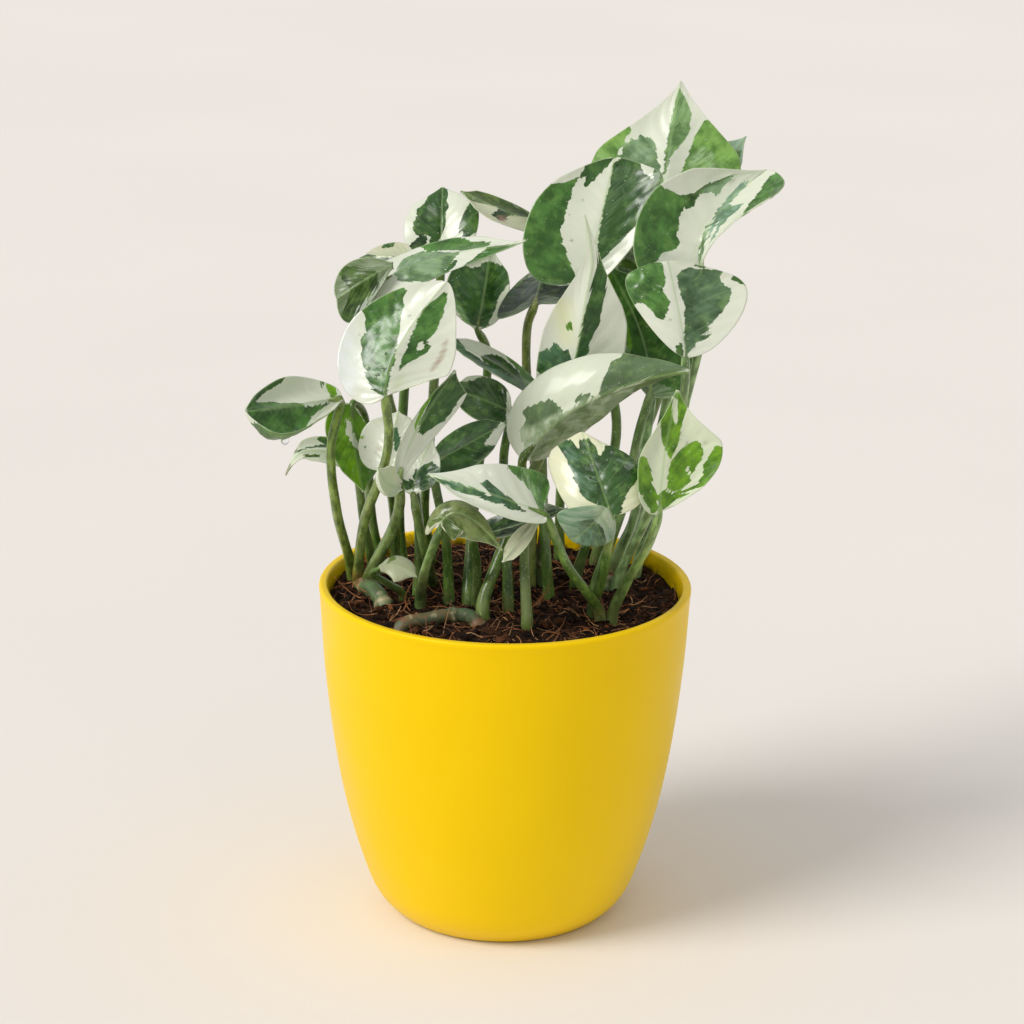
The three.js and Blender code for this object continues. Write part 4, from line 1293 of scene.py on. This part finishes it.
def make_crumbs(material):
    """Chips and crumbs of bark, each a lumpy stone of its own size, lying in the soil."""
    draw = random.Random(7)
    corners, faces = icosahedron()
    sheets = Sheets()
    for _ in range(CRUMB_COUNT):
        x, y = soil_spot(draw, CRUMB_EDGE)
        size = 0.35 + 1.5 * draw.random() ** 3
        stretch = Vector((draw.uniform(0.7, 1.9), draw.uniform(0.6, 1.1), draw.uniform(0.35, 0.8)))
        turn = Matrix.Rotation(draw.uniform(0, ANY_HEADING), 3, "Z")
        turn = turn @ Matrix.Rotation(draw.uniform(-0.7, 0.7), 3, "X")
        centre = Vector((x, y, soil_height(x, y) + 0.25 * size))
        points = []
        for corner in corners:
            lump = size / 1.9 * draw.uniform(0.75, 1.2)
            points.append(centre + turn @ Vector([c * s * lump for c, s in zip(corner, stretch)]))
        shade = draw.choice(CRUMB_SHADES) * draw.uniform(0.4, 1)
        sheets.add([tuple(p) for p in points], faces, 0, {"shade": np.full(len(points), shade)})
    piece = sheets.build("soil_crumbs", [material], smooth=False)


def add_thread(sheets, points, thickness, thinning, sides, step, tone, seed):
    """A thread of one tone that gets thinner along its length."""

    def radius_at(length, whole):
        return thickness - thinning * length / whole

    def tone_at(length, whole):
        return linear(tone)

    add_tube(sheets, points, radius_at, sides, step, 0, tone_at, seed)


def make_fibres(material):
    """Thin fibres that lie over the soil, some sticking up at one end."""
    draw = random.Random(11)
    sheets = Sheets()
    for seed in range(FIBRE_COUNT):
        x, y = soil_spot(draw, FIBRE_EDGE)
        heading, length = draw.uniform(0, ANY_HEADING), draw.uniform(3, 13)
        lift = draw.choice([0, 0, 0.15, 0.5]) * length
        curl = draw.uniform(-0.9, 0.9)
        points = []
        for share in (0, 0.25, 0.5, 0.75, 1):
            angle = heading + curl * share
            px, py = x + length * share * math.cos(angle), y + length * share * math.sin(angle)
            reach = math.hypot(px, py)
            if reach > FIBRE_REACH:
                px, py = px * FIBRE_REACH / reach, py * FIBRE_REACH / reach
            height = soil_height(px, py) + 0.3 + lift * share**2 + draw.uniform(-0.2, 0.5)
            points.append((px, py, height))
        thickness = draw.uniform(0.1, 0.26)
        add_thread(sheets, points, thickness, 0.6 * thickness, 4, 1.2, draw.choice(FIBRE_TONES), seed)
    piece = sheets.build("soil_fibres", [material])


def make_aerial_root(material):
    """A dry root thread that runs down a petiole to the soil."""
    sheets = Sheets()
    add_thread(sheets, AERIAL_ROOT, 0.42, 0.16, 8, 0.6, TONES["root"], 91)
    piece = sheets.build("aerial_root", [material])


# Materials
class Surface:
    """A material that is built up node by node. place is the point on the object, in metres."""

    def __init__(self, name):
        self.material = bpy.data.materials.new(name)
        self.material.use_nodes = True
        self.tree = self.material.node_tree
        self.shader = self.tree.nodes["Principled BSDF"]
        self.place = self.node("TexCoord").outputs["Object"]

    def feed(self, socket, value):
        """A name or a tuple is a tone, a number stays as it is, and all else is another node's output."""
        if isinstance(value, str):
            value = TONES[value]
        if isinstance(value, tuple):
            socket.default_value = (*linear(value), 1)
        elif isinstance(value, (int, float)):
            socket.default_value = value
        else:
            self.tree.links.new(value, socket)

    def node(self, kind, inputs=None):
        node = self.tree.nodes.new("ShaderNode" + kind)
        for name, value in (inputs or {}).items():
            self.feed(node.inputs[name], value)
        return node

    def attribute(self, name, output="Fac"):
        node = self.node("Attribute")
        node.attribute_name = name
        return node.outputs[output]

    def math(self, operation, *values):
        node = self.node("Math", dict(enumerate(values)))
        node.operation = operation
        return node.outputs[0]

    def times(self, first, second):
        return self.math("MULTIPLY", first, second)

    def step(self, value, low, high, to_low=0.0, to_high=1.0):
        """A smooth step from low to high."""
        inputs = {"Value": value, "From Min": low, "From Max": high, "To Min": to_low, "To Max": to_high}
        node = self.node("MapRange", inputs)
        node.interpolation_type = "SMOOTHSTEP"
        return node.outputs["Result"]

    def noise(self, scale, detail=2.0, roughness=0.5, vector=None):
        inputs = {"Scale": scale, "Detail": detail, "Roughness": roughness, "Vector": vector or self.place}
        return self.node("TexNoise", inputs).outputs["Fac"]

    def dots(self, scale, vector):
        return self.node("TexVoronoi", {"Scale": scale, "Vector": vector}).outputs["Distance"]

    def mix(self, share, first, second, blend="MIX"):
        node = self.node("Mix")
        node.data_type = "RGBA"
        node.blend_type = blend
        for place, value in zip((0, 6, 7), (share, first, second)):
            self.feed(node.inputs[place], value)
        return node.outputs[2]

    def bump(self, height, strength, depth):
        """Low relief, with its depth in metres."""
        node = self.node("Bump", {"Height": height, "Strength": strength, "Distance": depth})
        self.tree.links.new(node.outputs["Normal"], self.shader.inputs["Normal"])

    def finish(self, colour, roughness, **values):
        """Sets the shader. The values' names are those of its inputs, with lines in place of spaces."""
        inputs = {"Base Color": colour, "Roughness": roughness}
        inputs |= {name.replace("_", " "): value for name, value in values.items()}
        for name, value in inputs.items():
            self.feed(self.shader.inputs[name], value)
        return self.material

    def soften(self, weight):
        """Light that spreads a few millimetres through green plant tissue."""
        self.shader.inputs["Subsurface Weight"].default_value = weight
        self.shader.inputs["Subsurface Radius"].default_value = (0.6, 1.0, 0.35)
        self.shader.inputs["Subsurface Scale"].default_value = 0.003


def leaf_material():
    leaf = Surface("leaf")
    course = leaf.attribute("course", "Vector")
    streak = leaf.noise(0.55, 3, 0.6, course)
    tone = leaf.step(streak, 0.3, 0.75)
    vein = leaf.step(leaf.attribute("off_vein"), 0.05, 0.4, 1, 0)
    under = leaf.attribute("under")

    # Where the green, its silvery veil and the scar lie, with frayed edges
    jag = leaf.math("MULTIPLY_ADD", leaf.noise(0.62, 3, 0.6, course), 2.6, -1.3)
    fray = leaf.math("MULTIPLY_ADD", leaf.noise(2600, 2), 0.3, -0.15)
    shift = leaf.math("ADD", jag, fray)

    def mask(name, low, high):
        return leaf.step(leaf.math("ADD", leaf.attribute(name), shift), low, high)

    green_mask = mask("green", -0.1, 0.1)
    brushed = leaf.step(leaf.noise(0.8, 4, 0.7, course), 0.38, 0.72, 0.08, 0.7)
    veil_mask = leaf.times(leaf.times(mask("veil", -0.6, 0.6), brushed), green_mask)
    scar_mask = leaf.times(mask("scar", -1.0, 1.2), 0.8)

    # The green, with streaks, dark clouds, light islands and broken pale veins
    green = leaf.attribute("green_colour", "Color")
    green = leaf.mix(tone, leaf.mix(1.0, green, "green_streak", "MULTIPLY"), green)
    clouded = leaf.mix(1.0, green, "green_cloud", "MULTIPLY")
    green = leaf.mix(leaf.step(leaf.noise(150, 4, 0.6), 0.36, 0.6, 0.9, 0), green, clouded)
    lighter = leaf.mix(0.3, green, "green_island")
    green = leaf.mix(leaf.step(leaf.noise(260, 3, 0.55), 0.5, 0.68, 0, 0.6), green, lighter)
    broken = leaf.step(leaf.noise(160, 2), 0.35, 0.65, 0.05, 0.5)
    green = leaf.mix(leaf.times(vein, broken), green, leaf.mix(0.4, green, "green_vein"))
    green = leaf.mix(veil_mask, green, leaf.attribute("veil_colour", "Color"))

    # The pale ground, with faint veins and streaks
    ground = leaf.attribute("ground_colour", "Color")
    ground = leaf.mix(leaf.times(vein, 0.16), ground, leaf.mix(0.5, ground, "ground_vein"))
    ground = leaf.mix(tone, leaf.mix(0.35, ground, "ground_streak"), ground)

    # Both together, with the midrib, the margin, specks, the scar and the duller underside
    colour = leaf.mix(green_mask, ground, green)
    midrib = leaf.step(leaf.attribute("from_midrib"), 0.2, 0.55, 1, 0)
    colour = leaf.mix(leaf.times(midrib, 0.32), colour, "midrib")
    margin = leaf.step(leaf.attribute("from_margin"), 0.05, 0.32, 1, 0)
    colour = leaf.mix(leaf.times(margin, 0.4), colour, "margin")
    dot = leaf.step(leaf.dots(620, leaf.place), 0.07, 0.15, 1, 0)
    some = leaf.step(leaf.noise(330, 1), 0.5, 0.6, 0, 0.6)
    colour = leaf.mix(leaf.times(dot, some), colour, "speck")
    colour = leaf.mix(scar_mask, colour, "scar")
    colour = leaf.mix(leaf.times(under, 0.14), colour, "underside")
    gloss = leaf.math("MULTIPLY_ADD", under, 0.2, leaf.step(streak, 0.2, 0.8, 0.27, 0.4))
    leaf.soften(0.14)
    leaf.bump(leaf.noise(1500, 3), 0.12, 0.0004)
    return leaf.finish(colour, gloss, Specular_IOR_Level=0.3, Coat_Weight=0.28, Coat_Roughness=0.14)


def stalk_material():
    stalk = Surface("stalk")
    course = stalk.attribute("course", "Vector")
    colour = stalk.attribute("stalk_colour", "Color")
    streak = stalk.noise(0.4, 3, 0.5, course)
    colour = stalk.mix(stalk.step(streak, 0.34, 0.62, 0, 0.7), colour, "stalk_streak")
    colour = stalk.mix(stalk.step(stalk.noise(60, 2), 0.45, 0.7, 0, 0.45), colour, "stalk_pale")
    speck = stalk.step(stalk.dots(1.05, course), 0.1, 0.2, 0.85, 0)
    colour = stalk.mix(speck, colour, "stalk_speck")
    stalk.soften(0.15)
    stalk.bump(stalk.noise(1.6, 3, 0.5, course), 0.3, 0.0004)
    return stalk.finish(colour, 0.28, Specular_IOR_Level=0.35, Coat_Weight=0.3, Coat_Roughness=0.12)


def stem_material():
    vine = Surface("vine")
    course = vine.attribute("course", "Vector")
    colour = vine.attribute("stalk_colour", "Color")
    colour = vine.mix(vine.step(vine.noise(0.5, 4, 0.5, course), 0.4, 0.65), colour, "bark_streak")
    colour = vine.mix(vine.step(vine.noise(170, 4, 0.6), 0.5, 0.64, 0, 0.85), colour, "bark_blotch")
    colour = vine.mix(vine.step(vine.noise(260, 3), 0.6, 0.68, 0, 0.6), colour, "bark_pale")
    vine.bump(vine.noise(1.2, 5, 0.65, course), 0.55, 0.0006)
    return vine.finish(colour, 0.5)


def pot_material():
    """Yellow plastic, with dirt inside the wall above the soil. Heights and radii are in metres."""
    pot = Surface("yellow_plastic")
    colour = pot.mix(pot.step(pot.noise(14, 3), 0.3, 0.7), "yellow", "light_yellow")
    parts = pot.node("SeparateXYZ", {0: pot.place})
    squares = [pot.math("POWER", parts.outputs[axis], 2.0) for axis in "XY"]
    radius = pot.math("SQRT", pot.math("ADD", *squares))
    inside = pot.step(radius, 0.0568, 0.0574, 1, 0)
    low = pot.step(parts.outputs["Z"], 0.1085, 0.1045)
    high = pot.step(parts.outputs["Z"], 0.097, 0.1)
    smudge = pot.step(pot.noise(150, 4, 0.6), 0.42, 0.62)
    colour = pot.mix(pot.times(pot.times(inside, high), pot.times(low, smudge)), colour, "dirt")
    roughness = pot.step(pot.noise(55, 3), 0.3, 0.7, 0.36, 0.46)
    pot.shader.inputs["Specular Tint"].default_value = (1, 0.86, 0.3, 1)
    pot.bump(pot.noise(1400, 2), 0.06, 0.0003)
    return pot.finish(colour, roughness, Specular_IOR_Level=0.3)


def soil_material():
    soil = Surface("potting_mix")
    colour = soil.mix(soil.step(soil.noise(260, 5, 0.65), 0.35, 0.65), "peat", "light_peat")
    colour = soil.mix(soil.step(soil.noise(420, 3), 0.62, 0.72, 0, 0.6), colour, "chip")
    soil.bump(soil.noise(900, 6, 0.7), 0.9, 0.0012)
    return soil.finish(colour, 0.9, Specular_IOR_Level=0.15)


def crumb_material():
    bark = Surface("bark")
    colour = bark.mix(bark.attribute("shade"), "crumb", "light_crumb")
    colour = bark.mix(bark.step(bark.noise(900, 4), 0.4, 0.7, 0, 0.5), colour, "crumb_grain")
    bark.bump(bark.noise(1800, 4), 0.6, 0.0006)
    return bark.finish(colour, 0.9, Specular_IOR_Level=0.15)


def fibre_material():
    fibre = Surface("fibre")
    colour = fibre.attribute("stalk_colour", "Color")
    colour = fibre.mix(fibre.step(fibre.noise(700, 3), 0.35, 0.7, 0, 0.6), colour, "fibre_dark")
    return fibre.finish(colour, 0.7)


def water_material():
    water = Surface("water")
    roughness = water.step(water.noise(900, 2), 0.3, 0.7, 0.01, 0.05)
    return water.finish((255, 255, 255), roughness, IOR=1.33, Transmission_Weight=1)


def floor_material():
    paper = Surface("floor")
    colour = paper.mix(paper.step(paper.noise(3, 2), 0.3, 0.7), "floor", "far_floor")
    return paper.finish(colour, 0.9, Specular_IOR_Level=0.1)


# Floor, light and camera, in metres
FLOOR_REACH = 30
WORLD_STRENGTH = 0.625
SUN_STRENGTH = 2.0
SUN_SPREAD = math.radians(27)
SUN_FROM = Vector((-1.3, -0.78, 1.38))
LIT_MIDDLE = Vector((0, 0, 0.2))
GLOSS_LIGHTS = [((-0.9, -0.9, 1.5), (0.45, 0.7), 9), ((0.55, -0.3, 1.7), (0.25, 0.5), 3)]


def make_floor():
    mesh = bpy.data.meshes.new("floor")
    corners = [(x * FLOOR_REACH, y * FLOOR_REACH, 0) for x, y in ((-1, -1), (1, -1), (1, 1), (-1, 1))]
    mesh.from_pydata(corners, [], [(0, 1, 2, 3)])
    mesh.materials.append(floor_material())
    floor = bpy.data.objects.new("floor", mesh)
    bpy.context.scene.collection.objects.link(floor)


def add_lamp(name, light, shine):
    """Links a lamp that shines in that direction."""
    lamp = bpy.data.objects.new(name, light)
    lamp.rotation_euler = shine.to_track_quat("-Z", "Y").to_euler()
    bpy.context.scene.collection.objects.link(lamp)
    return lamp


def make_gloss_light(place, size, power):
    """A window that shows only as a highlight on what is glossy."""
    light = bpy.data.lights.new("window", "AREA")
    light.shape = "RECTANGLE"
    light.size, light.size_y = size
    light.energy = power
    lamp = add_lamp("window", light, LIT_MIDDLE - Vector(place))
    lamp.location = place
    lamp.visible_diffuse = False
    lamp.visible_transmission = False


def make_light():
    world = bpy.data.worlds.new("studio")
    world.use_nodes = True
    background = world.node_tree.nodes["Background"]
    background.inputs["Color"].default_value = (*linear(TONES["world"]), 1)
    background.inputs["Strength"].default_value = WORLD_STRENGTH
    bpy.context.scene.world = world
    light = bpy.data.lights.new("key", "SUN")
    light.energy, light.angle = SUN_STRENGTH, SUN_SPREAD
    light.color = linear(TONES["sun"])
    add_lamp("key", light, -SUN_FROM)
    for place, size, power in GLOSS_LIGHTS:
        make_gloss_light(place, size, power)


def make_camera():
    data = bpy.data.cameras.new("camera")
    data.lens, data.sensor_width = LENS, SENSOR
    data.clip_start, data.clip_end = 0.01, 100
    camera = bpy.data.objects.new("camera", data)
    forward, right, up = camera_axes()
    turn = Matrix((right, up, -forward)).transposed().to_4x4()
    camera.matrix_world = Matrix.Translation(CAMERA_PLACE) @ turn
    bpy.context.scene.collection.objects.link(camera)
    bpy.context.scene.camera = camera


make_camera()
make_light()
make_floor()
make_pot(pot_material())
make_soil(soil_material())
make_crumbs(crumb_material())
make_fibres(fibre_material())
make_stems(stem_material())
surfaces = make_leaves([leaf_material(), stalk_material()])
make_beads(surfaces, water_material())
make_aerial_root(fibre_material())

bpy.context.scene.view_settings.view_transform = "Standard"
